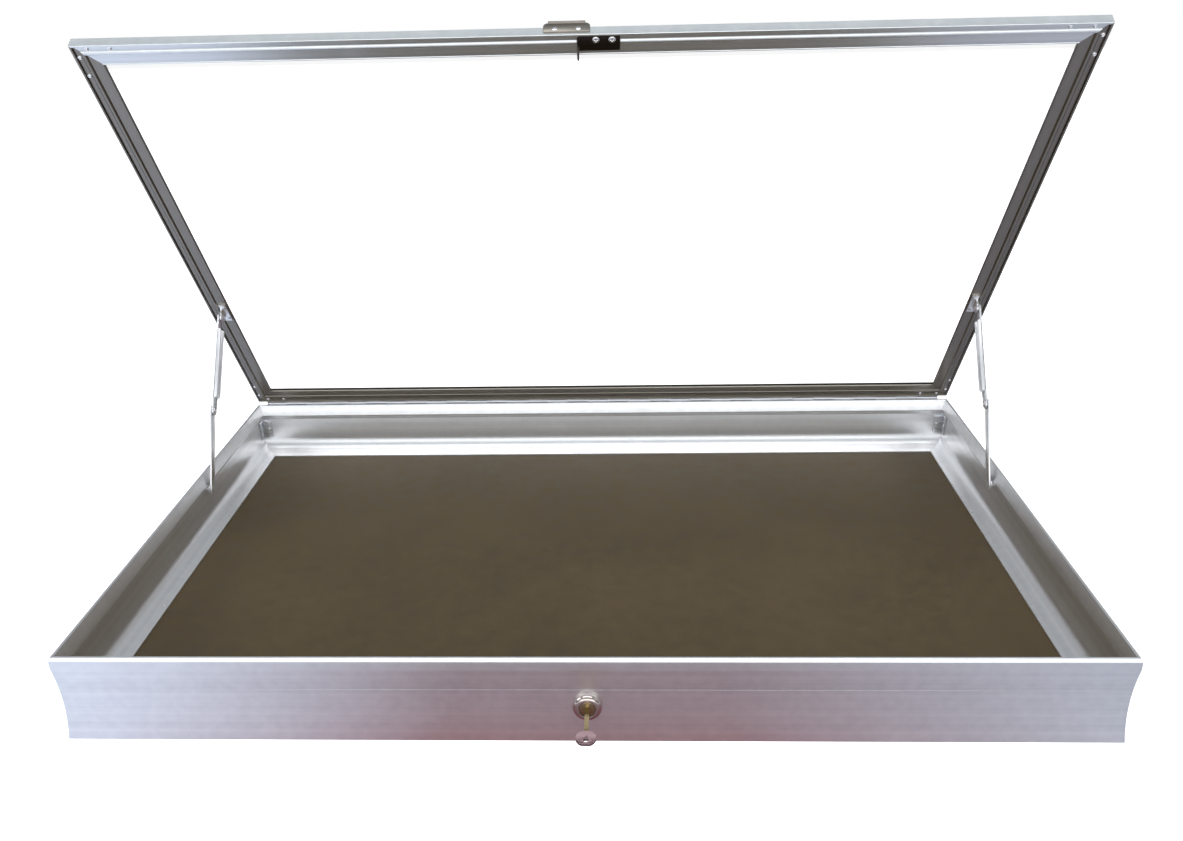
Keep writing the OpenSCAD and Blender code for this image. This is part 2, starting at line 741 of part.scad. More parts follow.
module strike_screws() {
  color("gainsboro") opened() strike_screw_places() difference() {
    domed(screw_r, strike_t + lid_wall + 1, 3.1, strike_head_h);
    cross_recess(strike_head_h, 3.6);
  }
}

// A lifting lip: a plate with rounded ends and a rolled top edge on the front of the lid.
module finger_pull() {
  top = lid_t + pull_rise - pull_roll;
  color("silver") opened() translate([pull_x, -case_d / 2, lid_z]) difference() {
    union() {
      translate([0, 0, 0]) rotate([90, 0, 0]) linear_extrude(pull_t) union() {
        translate([-pull_w / 2, pull_low]) square([pull_w, top - pull_corner - pull_low]);
        translate([pull_corner - pull_w / 2, pull_low]) square([pull_w - 2 * pull_corner, top - pull_low]);
        for (s = [-1, 1]) translate([s * (pull_w / 2 - pull_corner), top - pull_corner]) circle(pull_corner);
      }
      translate([pull_corner - pull_w / 2, -pull_roll, top]) rotate([0, 90, 0])
        cylinder(r = pull_roll, h = pull_w - 2 * pull_corner);
    }
    for (s = [-1, 1]) translate([s * pull_w / 4, 1, lid_t / 2]) rotate([90, 0, 0])
      cylinder(r = leaf_rivet_r + fit, h = 4);
  }
}
module pull_rivets() {
  color("gainsboro") opened() pull_rivet_places()
    domed(leaf_rivet_r, pull_t + lid_wall, leaf_head_r, leaf_head_h);
}

// ---------- stays ----------

// A shape in the plane of the left end wall: x along the link, y across it, z inward.
module in_wall_plane(at, dir, u) {
  translate([u - case_w / 2, at.x, at.y]) rotate([dir, 0, 0]) rotate([90, 0, 90]) children();
}
module bar(length, width) {
  circle(width / 2);
  translate([length, 0]) circle(width / 2);
  translate([0, -width / 2]) square([length, width]);
}

// Place of the wall pivot, with +Z pointing inward from the wall.
module wall_pin_place() {
  translate([lower_x - case_w / 2, foot.x, foot.y]) rotate([0, 90, 0]) children();
}

module wall_bracket(side) {
  color("gainsboro") on_side(side) wall_pin_place() {
    translate([0, 0, bead_u - lower_x]) cylinder(r = stay_head_r + 1, h = lower_x - bead_u - 0.2);
    translate([0, 0, -wall_pin_in]) cylinder(r = stay_pin_r, h = wall_pin_in + link_t + 0.2);
    translate([0, 0, link_t + 0.1]) domed(stay_pin_r, 0.1, stay_head_r, stay_cap_h);
  }
}

module lower_link(side) {
  color("whitesmoke") on_side(side) in_wall_plane(foot, lower_dir, lower_x) difference() {
    linear_extrude(link_t) bar(lower_len, link_w);
    translate([0, 0, -1]) cylinder(r = stay_pin_r + fit, h = link_t + 2);
    translate([lower_len, 0, -1]) cylinder(r = stay_pin_r, h = link_t + 2);
  }
}

// Half of the elbow rivet, on the wall side of the lower link.
module elbow_pin(side) {
  color("gainsboro") on_side(side) in_wall_plane(elbow, 0, lower_x)
    mirror([0, 0, 1]) domed(stay_pin_r, link_t, stay_head_r, 0.7);
}

module upper_link(side) {
  color("whitesmoke") on_side(side) in_wall_plane(top, upper_dir, upper_x) difference() {
    union() {
      linear_extrude(link_t) bar(upper_len, link_w);
      for (s = [-1, 1]) translate([14, s > 0 ? link_w / 2 - 1.2 : -link_w / 2, 0])
        cube([upper_len - 28, 1.2, link_t + flange_h]);
    }
    translate([0, 0, -1]) cylinder(r = stay_pin_r + fit, h = link_t + 2);
    translate([upper_len, 0, -1]) cylinder(r = stay_pin_r, h = link_t + 2);
    translate([spring_at, 0, -1]) cylinder(r = leaf_rivet_r + fit, h = link_t + 2);
  }
}

// The other half of the elbow rivet, on the inner side of the upper link.
module elbow_cap(side) {
  color("gainsboro") on_side(side) in_wall_plane(elbow, 0, upper_x + link_t)
    domed(stay_pin_r, link_t, stay_head_r, stay_head_h);
}

// A flat spring in the channel of the upper link, with its own rivet.
module stay_spring(side) {
  color("silver") on_side(side) in_wall_plane(top, upper_dir, upper_x + link_t) {
    translate([spring_at - 6, -spring_w / 2, 0]) cube([upper_len - spring_at - 1, spring_w, spring_t]);
    translate([spring_at, 0, spring_t]) domed(leaf_rivet_r, spring_t + link_t, leaf_head_r, leaf_head_h);
  }
}

module lid_bracket_screw_places() {
  for (a = lug_screw_at)
    translate([lug_x + (lug_w + lug_t) / 2 - case_w / 2, top_closed.x + a, lid_z - lug_t])
      rotate([180, 0, 0]) children();
}
module lid_bracket(side) {
  color("gainsboro") opened() on_side(side) difference() {
    union() {
      translate([lug_x - case_w / 2, top_closed.x - 14, lid_z - lug_t]) cube([lug_w, 28, lug_t]);
      in_wall_plane(top_closed, 0, lug_x) linear_extrude(lug_t) union() {
        circle(5);
        translate([-7, 0.5]) square([14, stay_drop - 0.5]);
      }
    }
    in_wall_plane(top_closed, 0, lug_x - 1) cylinder(r = stay_pin_r, h = lug_t + 2);
    lid_bracket_screw_places() translate([0, 0, -3]) cylinder(r = leaf_rivet_r + fit, h = 4);
  }
}
module lid_pin(side) {
  color("gainsboro") opened() on_side(side) {
    in_wall_plane(top_closed, 0, upper_x - 0.1) mirror([0, 0, 1])
      domed(stay_pin_r, lug_x + lug_t - upper_x + 0.1, 3, stay_cap_h);
    in_wall_plane(top_closed, 0, lug_x + lug_t) domed(stay_pin_r, 0.1, 3, 0.8);
    lid_bracket_screw_places() domed(leaf_rivet_r, lug_t + lid_wall, leaf_head_r, leaf_head_h);
  }
}

module stay_wall_bracket_left() wall_bracket(-1);
module stay_lower_link_left() lower_link(-1);
module stay_elbow_pin_left() elbow_pin(-1);
module stay_upper_link_left() upper_link(-1);
module stay_elbow_cap_left() elbow_cap(-1);
module stay_spring_left() stay_spring(-1);
module stay_lid_bracket_left() lid_bracket(-1);
module stay_lid_pin_left() lid_pin(-1);
module stay_wall_bracket_right() wall_bracket(1);
module stay_lower_link_right() lower_link(1);
module stay_elbow_pin_right() elbow_pin(1);
module stay_upper_link_right() upper_link(1);
module stay_elbow_cap_right() elbow_cap(1);
module stay_spring_right() stay_spring(1);
module stay_lid_bracket_right() lid_bracket(1);
module stay_lid_pin_right() lid_pin(1);

front_rail();
rear_rail();
left_rail();
right_rail();
base_panel();
panel_rivets();
corner_bracket_front_left();
corner_bracket_front_right();
corner_bracket_rear_left();
corner_bracket_rear_right();
corner_rivets();
hinge_leaf_case();
hinge_leaf_lid();
hinge_pin();
hinge_case_rivets();
hinge_lid_rivets();
lock_body();
lock_nut();
lock_plug();
lock_cam();
cam_screw();
key();
lid_front_rail();
lid_rear_rail();
lid_left_rail();
lid_right_rail();
lid_corner_keys();
lid_corner_screws();
glass_pane();
glazing_seal();
glazing_bead_front();
glazing_bead_rear();
glazing_bead_left();
glazing_bead_right();
strike_plate();
strike_screws();
finger_pull();
pull_rivets();
stay_wall_bracket_left();
stay_lower_link_left();
stay_elbow_pin_left();
stay_upper_link_left();
stay_elbow_cap_left();
stay_spring_left();
stay_lid_bracket_left();
stay_lid_pin_left();
stay_wall_bracket_right();
stay_lower_link_right();
stay_elbow_pin_right();
stay_upper_link_right();
stay_elbow_cap_right();
stay_spring_right();
stay_lid_bracket_right();
stay_lid_pin_right();
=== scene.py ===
"""Looks of a low glazed frame with a hinged lid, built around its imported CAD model.

Metres, +Z up, the front faces -Y. The lid is drawn closed, where its sections are square to
the axes, and is then turned open about the hinge line, as the CAD model is.
"""

import json
import logging
import math
from dataclasses import dataclass, field
from enum import Enum
from typing import Callable, ClassVar, Sequence

import bpy
from mathutils import Matrix, Vector


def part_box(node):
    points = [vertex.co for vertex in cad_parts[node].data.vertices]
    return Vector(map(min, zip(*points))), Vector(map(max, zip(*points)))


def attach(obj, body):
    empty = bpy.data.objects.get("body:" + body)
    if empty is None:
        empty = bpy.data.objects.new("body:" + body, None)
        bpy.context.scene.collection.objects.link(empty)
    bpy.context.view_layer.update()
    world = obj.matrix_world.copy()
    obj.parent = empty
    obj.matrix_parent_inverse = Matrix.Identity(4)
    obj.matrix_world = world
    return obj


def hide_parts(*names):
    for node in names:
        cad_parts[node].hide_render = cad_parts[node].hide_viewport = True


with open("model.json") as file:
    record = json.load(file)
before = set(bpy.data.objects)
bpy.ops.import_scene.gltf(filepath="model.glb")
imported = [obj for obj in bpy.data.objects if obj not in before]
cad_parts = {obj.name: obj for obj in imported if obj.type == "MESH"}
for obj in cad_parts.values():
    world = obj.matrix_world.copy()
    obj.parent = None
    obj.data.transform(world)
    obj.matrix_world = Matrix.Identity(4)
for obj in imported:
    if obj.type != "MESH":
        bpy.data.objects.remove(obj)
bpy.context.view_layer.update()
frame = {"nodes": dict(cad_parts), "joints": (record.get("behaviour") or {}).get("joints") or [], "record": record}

LOG = logging.getLogger("glazed_frame")
MM = 0.001
WHITE = (1.0, 1.0, 1.0, 1.0)
PALE = (0.9, 0.9, 0.9, 1.0)
WELD = 0.001 * MM  # corners closer than this are merged
WORN_GAIN = 1.15  # how much brighter a metal is where it is worn
SCUFF_ROUGHNESS = 0.04
Point = tuple[float, float]
Point3 = tuple[float, float, float]


class Side(Enum):
    """The two ends of the case."""

    LEFT = -1
    RIGHT = 1


class Edge(Enum):
    """The four sides of a mitred frame, as the turn that brings the front rail to each."""

    FRONT = 0
    RIGHT = 90
    REAR = 180
    LEFT = 270


# --------------------------------------------------------------------------- sizes


@dataclass(frozen=True)
class Sizes:
    """Main sizes of the frame in metres, read from the CAD model where it holds them."""

    width: float
    depth: float
    height: float
    hinge: Vector
    lid_open: float
    lid_gap: float = 2.8 * MM
    lid_inset: float = 1.2 * MM
    lid_t: float = 8.0 * MM

    @property
    def lid_z(self) -> float:
        """Height of the underside of the closed lid."""
        return self.height + self.lid_gap

    @property
    def lid_width(self) -> float:
        """Overall width of the lid."""
        return self.width - 2 * self.lid_inset

    @property
    def opening(self) -> Matrix:
        """The turn that takes the closed lid to its open rest place."""
        there = Matrix.Translation(self.hinge)
        return there @ Matrix.Rotation(-self.lid_open, 4, "X") @ there.inverted()

    @classmethod
    def from_frame(cls) -> "Sizes":
        """Reads the case's box and the lid's hinge joint.

        Returns:
            The sizes that every sub-assembly is placed from.
        """
        low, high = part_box("front_rail")
        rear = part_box("rear_rail")[1].y
        joint = next(j for j in frame["joints"] if j["name"] == "lid_hinge")
        return cls(width=high.x - low.x, depth=rear - low.y, height=high.z,
                   hinge=Vector(joint["pos_m"]), lid_open=math.radians(joint["range_deg"][1]))


SIZES = Sizes.from_frame()


# --------------------------------------------------------------------------- modelling


def deselect_all() -> None:
    """Leaves object mode and clears the selection."""
    if bpy.context.object and bpy.context.object.mode != "OBJECT":
        bpy.ops.object.mode_set(mode="OBJECT")
    bpy.ops.object.select_all(action="DESELECT")


def pick(obj: bpy.types.Object) -> None:
    """Makes one object the only selected and active one.

    Args:
        obj: The object.
    """
    deselect_all()
    obj.select_set(True)
    bpy.context.view_layer.objects.active = obj


@dataclass
class Workpiece:
    """A mesh being shaped by hand, from a primitive to a finished piece."""

    obj: bpy.types.Object

    @classmethod
    def from_primitive(cls, name: str, **place: object) -> "Workpiece":
        """Starts a piece from a cube primitive of the given size and place.

        Args:
            name: The piece's name.
            **place: Arguments of the primitive, such as its location and scale.

        Returns:
            The new workpiece, with its place in its mesh.
        """
        deselect_all()
        bpy.ops.mesh.primitive_cube_add(size=1, **place)
        bpy.context.object.name = name
        piece = cls(bpy.context.object)
        return piece.settle()

    @classmethod
    def cylinder(cls, name: str, radius: float, start: Vector, axis: str, length: float,
                 vertices: int = 48) -> "Workpiece":
        """Starts a piece from a round bar.

        Args:
            name: The piece's name.
            radius: Radius of the bar.
            start: Middle of its first end.
            axis: Row axis that it runs along, "X", "Y" or "Z".
            length: Its length; negative runs the other way.
            vertices: Number of flats round it.

        Returns:
            The new workpiece.
        """
        deselect_all()
        along = Vector([float(axis == a) for a in "XYZ"])
        turn = Vector((0, 0, 1)).rotation_difference(along).to_euler()
        bpy.ops.mesh.primitive_cylinder_add(vertices=vertices, radius=radius, depth=abs(length),
                                            location=start + along * length / 2, rotation=turn)
        bpy.context.object.name = name
        return cls(bpy.context.object).settle()

    @classmethod
    def bar(cls, name: str, outline: Sequence[Point], half: float,
            to_3d: Callable[[float, float], Vector], along: Vector) -> "Workpiece":
        """Draws a section point by point and extrudes it to a bar.

        Args:
            name: The piece's name.
            outline: Corners of the section, in order.
            half: Half of the bar's length.
            to_3d: Turns a section point into a place in the middle of the bar.
            along: Unit vector along the bar.

        Returns:
            The new workpiece, closed and with its faces outward.
        """
        places = [to_3d(*point) - along * half for point in outline]
        piece = cls.wire(name, places + places[:1])
        bpy.ops.object.mode_set(mode="EDIT")
        bpy.ops.mesh.select_all(action="SELECT")
        bpy.ops.mesh.remove_doubles(threshold=WELD)
        bpy.ops.mesh.edge_face_add()
        bpy.ops.mesh.extrude_region_move(TRANSFORM_OT_translate={"value": along * 2 * half})
        bpy.ops.object.mode_set(mode="OBJECT")
        return piece.face_out()

    @classmethod
    def turned(cls, name: str, profile: Sequence[Point], steps: int = 48) -> "Workpiece":
        """Spins a profile round the Z axis, as on a lathe.

        Args:
            name: The piece's name.
            profile: Points of radius and height, that start and end on the axis or meet.
            steps: Number of flats round it.

        Returns:
            The new workpiece, closed and with its faces outward.
        """
        piece = cls.wire(name, [Vector((radius, 0, height)) for radius, height in profile])
        bpy.ops.object.mode_set(mode="EDIT")
        bpy.ops.mesh.select_all(action="SELECT")
        bpy.ops.mesh.spin(steps=steps, angle=math.tau, center=(0, 0, 0), axis=(0, 0, 1))
        bpy.ops.mesh.select_all(action="SELECT")
        bpy.ops.mesh.remove_doubles(threshold=WELD)
        bpy.ops.object.mode_set(mode="OBJECT")
        return piece.face_out()

    @classmethod
    def wire(cls, name: str, places: Sequence[Vector]) -> "Workpiece":
        """Draws a chain of edges through some places, by extruding one vertex along it.

        Args:
            name: The piece's name.
            places: The places in order.

        Returns:
            The new workpiece, with no faces yet.
        """
        deselect_all()
        bpy.ops.mesh.primitive_plane_add(size=MM, location=places[0])
        bpy.context.object.name = name
        piece = cls(bpy.context.object).settle()
        bpy.ops.object.mode_set(mode="EDIT")
        bpy.ops.mesh.select_mode(type="VERT")
        bpy.ops.mesh.select_all(action="SELECT")
        bpy.ops.mesh.merge(type="CENTER")
        for here, there in zip(places, places[1:]):
            bpy.ops.mesh.extrude_vertices_move(TRANSFORM_OT_translate={"value": there - here})
        bpy.ops.object.mode_set(mode="OBJECT")
        return piece

    def settle(self) -> "Workpiece":
        """Moves the object's place, turn and size into its mesh.

        Returns:
            This workpiece.
        """
        pick(self.obj)
        bpy.ops.object.transform_apply(location=True, rotation=True, scale=True)
        return self

    def cut(self, point: Vector, normal: Vector) -> "Workpiece":
        """Cuts the piece with a plane, drops what lies on the normal's side and closes the end.

        Args:
            point: A point on the plane.
            normal: The plane's normal, towards what is dropped.

        Returns:
            This workpiece.
        """
        pick(self.obj)
        bpy.ops.object.mode_set(mode="EDIT")
        bpy.ops.mesh.select_all(action="SELECT")
        bpy.ops.mesh.bisect(plane_co=point, plane_no=normal, use_fill=True, clear_outer=True)
        bpy.ops.object.mode_set(mode="OBJECT")
        return self

    def bevel(self, width: float, segments: int = 2, angle: float = 35.0) -> "Workpiece":
        """Rounds the piece's sharp edges with an applied Bevel modifier.

        Args:
            width: Width of the rounding.
            segments: Number of faces across it.
            angle: Only edges sharper than this many degrees are rounded.

        Returns:
            This workpiece.
        """
        pick(self.obj)
        modifier = self.obj.modifiers.new("edges", "BEVEL")
        modifier.width = width
        modifier.segments = segments
        modifier.limit_method = "ANGLE"
        modifier.angle_limit = math.radians(angle)
        bpy.ops.object.modifier_apply(modifier=modifier.name)
        return self

    def minus(self, *tools: "Workpiece") -> "Workpiece":
        """Cuts other workpieces out of this one, and removes them.

        Args:
            *tools: The workpieces to cut out.

        Returns:
            This workpiece.
        """
        for tool in tools:
            pick(self.obj)
            modifier = self.obj.modifiers.new("cut", "BOOLEAN")
            modifier.object = tool.obj
            modifier.operation = "DIFFERENCE"
            modifier.solver = "EXACT"
            bpy.ops.object.modifier_apply(modifier=modifier.name)
            bpy.data.objects.remove(tool.obj, do_unlink=True)
        return self

    def join(self, *others: "Workpiece") -> "Workpiece":
        """Takes other workpieces into this one as separate shells.

        Args:
            *others: The workpieces to take in.

        Returns:
            This workpiece.
        """
        pick(self.obj)
        for other in others:
            other.obj.select_set(True)
        bpy.context.view_layer.objects.active = self.obj
        bpy.ops.object.join()
        return self

    def copy(self, name: str) -> "Workpiece":
        """A copy with its own mesh.

        Args:
            name: The copy's name.

        Returns:
            The copy.
        """
        pick(self.obj)
        bpy.ops.object.duplicate(linked=False)
        bpy.context.object.name = name
        return Workpiece(bpy.context.object)

    def place(self, matrix: Matrix) -> "Workpiece":
        """Moves the piece by a matrix, into its mesh.

        Args:
            matrix: The move, which may mirror.

        Returns:
            This workpiece.
        """
        self.obj.matrix_world = matrix @ self.obj.matrix_world
        self.settle()
        if matrix.determinant() < 0:
            self.face_out()
        return self

    def face_out(self) -> "Workpiece":
        """Turns all faces outward.

        Returns:
            This workpiece.
        """
        pick(self.obj)
        bpy.ops.object.mode_set(mode="EDIT")
        bpy.ops.mesh.select_all(action="SELECT")
        bpy.ops.mesh.normals_make_consistent(inside=False)
        bpy.ops.object.mode_set(mode="OBJECT")
        return self

    def smooth(self, angle: float = 30.0) -> "Workpiece":
        """Shades the piece smooth across edges flatter than an angle.

        Args:
            angle: The angle in degrees.

        Returns:
            This workpiece.
        """
        pick(self.obj)
        bpy.ops.object.shade_smooth_by_angle(angle=math.radians(angle))
        return self


def arc(middle: Point, radius: float, start: float, end: float, steps: int) -> list[Point]:
    """Points on a circle.

    Args:
        middle: The circle's middle.
        radius: Its radius.
        start: First angle in degrees.
        end: Last angle in degrees.
        steps: Number of stretches between them.

    Returns:
        The points, both ends included.
    """
    angles = [math.radians(start + (end - start) * i / steps) for i in range(steps + 1)]
    return [(middle[0] + radius * math.cos(a), middle[1] + radius * math.sin(a)) for a in angles]


def rounded(outline: Sequence[Point], radius: float, sharper: float = 25.0,
            steps: int = 2) -> list[Point]:
    """Rounds the sharp corners of a closed outline.

    Args:
        outline: The corners in order.
        radius: How far from a corner the rounding starts.
        sharper: Only corners that turn by more than this many degrees are rounded.
        steps: Number of stretches in each rounded corner.

    Returns:
        The new outline.
    """
    points: list[Point] = []
    count = len(outline)
    for i, corner in enumerate(outline):
        here, before, after = Vector(corner), Vector(outline[i - 1]), Vector(outline[(i + 1) % count])
        into, out = here - before, after - here
        if into.length < 1e-7 or out.length < 1e-7:
            continue
        if math.degrees(into.angle(out)) < sharper:
            points.append(corner)
            continue
        reach = min(radius, into.length * 0.45, out.length * 0.45)
        first, last = here - into.normalized() * reach, here + out.normalized() * reach
        for step in range(steps + 1):
            t = step / steps
            spot = first * (1 - t) ** 2 + here * 2 * t * (1 - t) + last * t ** 2
            points.append((spot.x, spot.y))
    return points


def dress(piece: Workpiece, material: bpy.types.Material, body: str, slot: str,
          *replaced: str) -> bpy.types.Object:
    """Gives a finished piece its material and body, and hides the CAD nodes that it stands for.

    Args:
        piece: The finished piece.
        material: Its finish.
        body: The CAD body that it moves with.
        slot: The record's material slot; not used.
        *replaced: CAD nodes that it replaces.

    Returns:
        The piece's object.
    """
    obj = piece.obj
    obj.data.materials.clear()
    obj.data.materials.append(material)
    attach(obj, body)
    if replaced:
        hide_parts(*replaced)
    LOG.info("%s: %d faces on %s", obj.name, len(obj.data.polygons), body)
    return obj


# --------------------------------------------------------------------------- finishes


def new_group(name: str, inputs: dict[str, tuple[str, object]],
              outputs: dict[str, str]) -> tuple[bpy.types.NodeTree, bpy.types.Node, bpy.types.Node]:
    """Makes an empty shader node group.

    Args:
        name: The group's name.
        inputs: Each input's name, with its socket type and default.
        outputs: Each output's name, with its socket type.

    Returns:
        The group, its input node and its output node.
    """
    group = bpy.data.node_groups.new(name, "ShaderNodeTree")
    for label, (kind, default) in inputs.items():
        socket = group.interface.new_socket(name=label, in_out="INPUT", socket_type=kind)
        if default is not None:
            socket.default_value = default
    for label, kind in outputs.items():
        group.interface.new_socket(name=label, in_out="OUTPUT", socket_type=kind)
    return group, group.nodes.new("NodeGroupInput"), group.nodes.new("NodeGroupOutput")


def noise(tree: bpy.types.NodeTree, vector: bpy.types.NodeSocket, scale: float,
          detail: float = 3.0) -> bpy.types.NodeSocket:
    """Adds a noise texture and returns its value output.

    Args:
        tree: The node tree.
        vector: Where the texture is read.
        scale: Its scale.
        detail: Its number of finer layers.

    Returns:
        The value, about 0.5 on average.
    """
    node = tree.nodes.new("ShaderNodeTexNoise")
    node.inputs["Scale"].default_value = scale
    node.inputs["Detail"].default_value = detail
    tree.links.new(vector, node.inputs["Vector"])
    return node.outputs["Fac"]


def maths(tree: bpy.types.NodeTree, operation: str, *values: object) -> bpy.types.NodeSocket:
    """Adds a Math node on sockets or numbers and returns its result.

    Args:
        tree: The node tree.
        operation: The node's operation.
        *values: Its inputs, in order.

    Returns:
        The result.
    """
    node = tree.nodes.new("ShaderNodeMath")
    node.operation = operation
    for slot, value in zip(node.inputs, values):
        if isinstance(value, (int, float)):
            slot.default_value = value
        else:
            tree.links.new(value, slot)
    return node.outputs[0]


def ranged(tree: bpy.types.NodeTree, value: bpy.types.NodeSocket, low: float, high: float,
           to_low: float, to_high: float) -> bpy.types.NodeSocket:
    """Adds a clamped Map Range node and returns its result.

    Args:
        tree: The node tree.
        value: The value to map.
        low: Start of its range.
        high: End of its range.
        to_low: What the start becomes.
        to_high: What the end becomes.

    Returns:
        The mapped value.
    """
    node = tree.nodes.new("ShaderNodeMapRange")
    for label, number in (("From Min", low), ("From Max", high), ("To Min", to_low), ("To Max", to_high)):
        node.inputs[label].default_value = number
    tree.links.new(value, node.inputs["Value"])
    return node.outputs["Result"]


def mixed(tree: bpy.types.NodeTree, factor: object, first: object, second: object) -> bpy.types.NodeSocket:
    """Adds a colour Mix node on sockets or colours and returns its result.

    Args:
        tree: The node tree.
        factor: How much of the second colour there is.
        first: The colour at 0.
        second: The colour at 1.

    Returns:
        The mixed colour.
    """
    node = tree.nodes.new("ShaderNodeMix")
    node.data_type = "RGBA"
    for slot, value in zip((node.inputs[0], node.inputs[6], node.inputs[7]), (factor, first, second)):
        if isinstance(value, bpy.types.NodeSocket):
            tree.links.new(value, slot)
        else:
            slot.default_value = value
    return node.outputs[2]


def start_material(name: str) -> tuple[bpy.types.Material, bpy.types.NodeTree, bpy.types.Node]:
    """Makes a node material.

    Args:
        name: The material's name.

    Returns:
        The material, its node tree and its Principled shader.
    """
    material = bpy.data.materials.new(name)
    material.use_nodes = True
    return material, material.node_tree, material.node_tree.nodes["Principled BSDF"]


def add_bump(tree: bpy.types.NodeTree, height: bpy.types.NodeSocket, strength: float,
             distance: float) -> None:
    """Raises the surface of a material by a height pattern.

    Args:
        tree: The material's node tree.
        height: The pattern.
        strength: How strongly it shows, from 0 to 1.
        distance: How high it stands, in metres.
    """
    bump = tree.nodes.new("ShaderNodeBump")
    bump.inputs["Strength"].default_value = strength
    bump.inputs["Distance"].default_value = distance
    tree.links.new(height, bump.inputs["Height"])
    tree.links.new(bump.outputs["Normal"], tree.nodes["Principled BSDF"].inputs["Normal"])


def place_on_object(tree: bpy.types.NodeTree) -> bpy.types.NodeSocket:
    """Adds a Texture Coordinate node and returns its Object output."""
    return tree.nodes.new("ShaderNodeTexCoord").outputs["Object"]


def die_lines_group() -> bpy.types.NodeTree:
    """Builds the group for drawn metal: long fine lines, faint streaks and small scuffs.

    Returns:
        A group whose Vector runs along X for the draw direction.
    """
    group, source, result = new_group(
        "drawn metal lines",
        {"Vector": ("NodeSocketVector", None), "Line Scale": ("NodeSocketFloat", 900.0)},
        {"Lines": "NodeSocketFloat", "Streaks": "NodeSocketFloat", "Scuffs": "NodeSocketFloat"})
    stretch = group.nodes.new("ShaderNodeMapping")
    stretch.inputs["Scale"].default_value = (0.0002, 1.0, 1.0)
    group.links.new(source.outputs["Vector"], stretch.inputs["Vector"])
    fine = group.nodes.new("ShaderNodeTexNoise")
    fine.inputs["Detail"].default_value = 2.0
    group.links.new(stretch.outputs[0], fine.inputs["Vector"])
    group.links.new(source.outputs["Line Scale"], fine.inputs["Scale"])
    streaks = noise(group, stretch.outputs[0], 170.0, 5.0)
    scuffs = noise(group, source.outputs["Vector"], 38.0, 6.0)
    group.links.new(fine.outputs["Fac"], result.inputs["Lines"])
    group.links.new(streaks, result.inputs["Streaks"])
    group.links.new(ranged(group, scuffs, 0.52, 0.78, 0.0, 1.0), result.inputs["Scuffs"])
    return group


def wear_group() -> bpy.types.NodeTree:
    """Builds the group for worn edges: a mask that is brighter where the surface turns outward.

    Returns:
        A group whose Mask is 0 on flat faces.
    """
    group, source, result = new_group(
        "worn edges", {"Vector": ("NodeSocketVector", None), "Amount": ("NodeSocketFloat", 0.5)},
        {"Mask": "NodeSocketFloat"})
    shape = group.nodes.new("ShaderNodeNewGeometry")
    turned = ranged(group, shape.outputs["Pointiness"], 0.51, 0.56, 0.0, 1.0)
    broken = ranged(group, noise(group, source.outputs["Vector"], 120.0, 4.0), 0.35, 0.7, 0.2, 1.0)
    strength = maths(group, "MULTIPLY", turned, broken)
    group.links.new(maths(group, "MULTIPLY", strength, source.outputs["Amount"]), result.inputs["Mask"])
    return group


@dataclass(frozen=True)
class Lay:
    """Which way the lines of a drawn metal run, as the turn that brings them to X."""

    turn: Point3 = (0.0, 0.0, 0.0)


ALONG_X = Lay()
ALONG_Y = Lay((0.0, 0.0, -math.pi / 2))
ALONG_Z = Lay((0.0, math.pi / 2, 0.0))
ALONG_LID_SIDE = Lay((SIZES.lid_open, 0.0, -math.pi / 2))


@dataclass(frozen=True)
class Metal:
    """A metal finish with lines in the draw direction, scuffs and worn edges."""

    name: str
    color: Point3
    dark: Point3
    rough: float = 0.3
    rough_spread: float = 0.12
    bump: float = 0.12
    line_scale: float = 900.0
    wear: float = 0.4
    coat: float = 0.0

    def material(self, groups: "Groups", lay: Lay = ALONG_X, tag: str = "") -> bpy.types.Material:
        """Builds the material.

        Args:
            groups: The shared node groups.
            lay: Which way its lines run.
            tag: Added to the name, to tell the lays apart.

        Returns:
            The finished material.
        """
        material, tree, shader = start_material(self.name + tag)
        place = place_on_object(tree)
        turn = tree.nodes.new("ShaderNodeMapping")
        turn.inputs["Rotation"].default_value = lay.turn
        tree.links.new(place, turn.inputs["Vector"])
        lines = tree.nodes.new("ShaderNodeGroup")
        lines.node_tree = groups.die_lines
        lines.inputs["Line Scale"].default_value = self.line_scale
        tree.links.new(turn.outputs[0], lines.inputs["Vector"])
        wear = tree.nodes.new("ShaderNodeGroup")
        wear.node_tree = groups.wear
        wear.inputs["Amount"].default_value = self.wear
        tree.links.new(place, wear.inputs["Vector"])
        tone = ranged(tree, lines.outputs["Streaks"], 0.3, 0.7, 0.0, 1.0)
        base = mixed(tree, tone, (*self.dark, 1.0), (*self.color, 1.0))
        bright = (*(min(1.0, c * WORN_GAIN) for c in self.color), 1.0)
        tree.links.new(mixed(tree, wear.outputs["Mask"], base, bright), shader.inputs["Base Color"])
        fine = ranged(tree, lines.outputs["Lines"], 0.3, 0.7, self.rough - self.rough_spread / 2,
                      self.rough + self.rough_spread / 2)
        tree.links.new(maths(tree, "MULTIPLY_ADD", lines.outputs["Scuffs"], SCUFF_ROUGHNESS, fine),
                       shader.inputs["Roughness"])
        add_bump(tree, lines.outputs["Lines"], self.bump, 0.05 * MM)
        shader.inputs["Metallic"].default_value = 1.0
        shader.inputs["Coat Weight"].default_value = self.coat
        return material


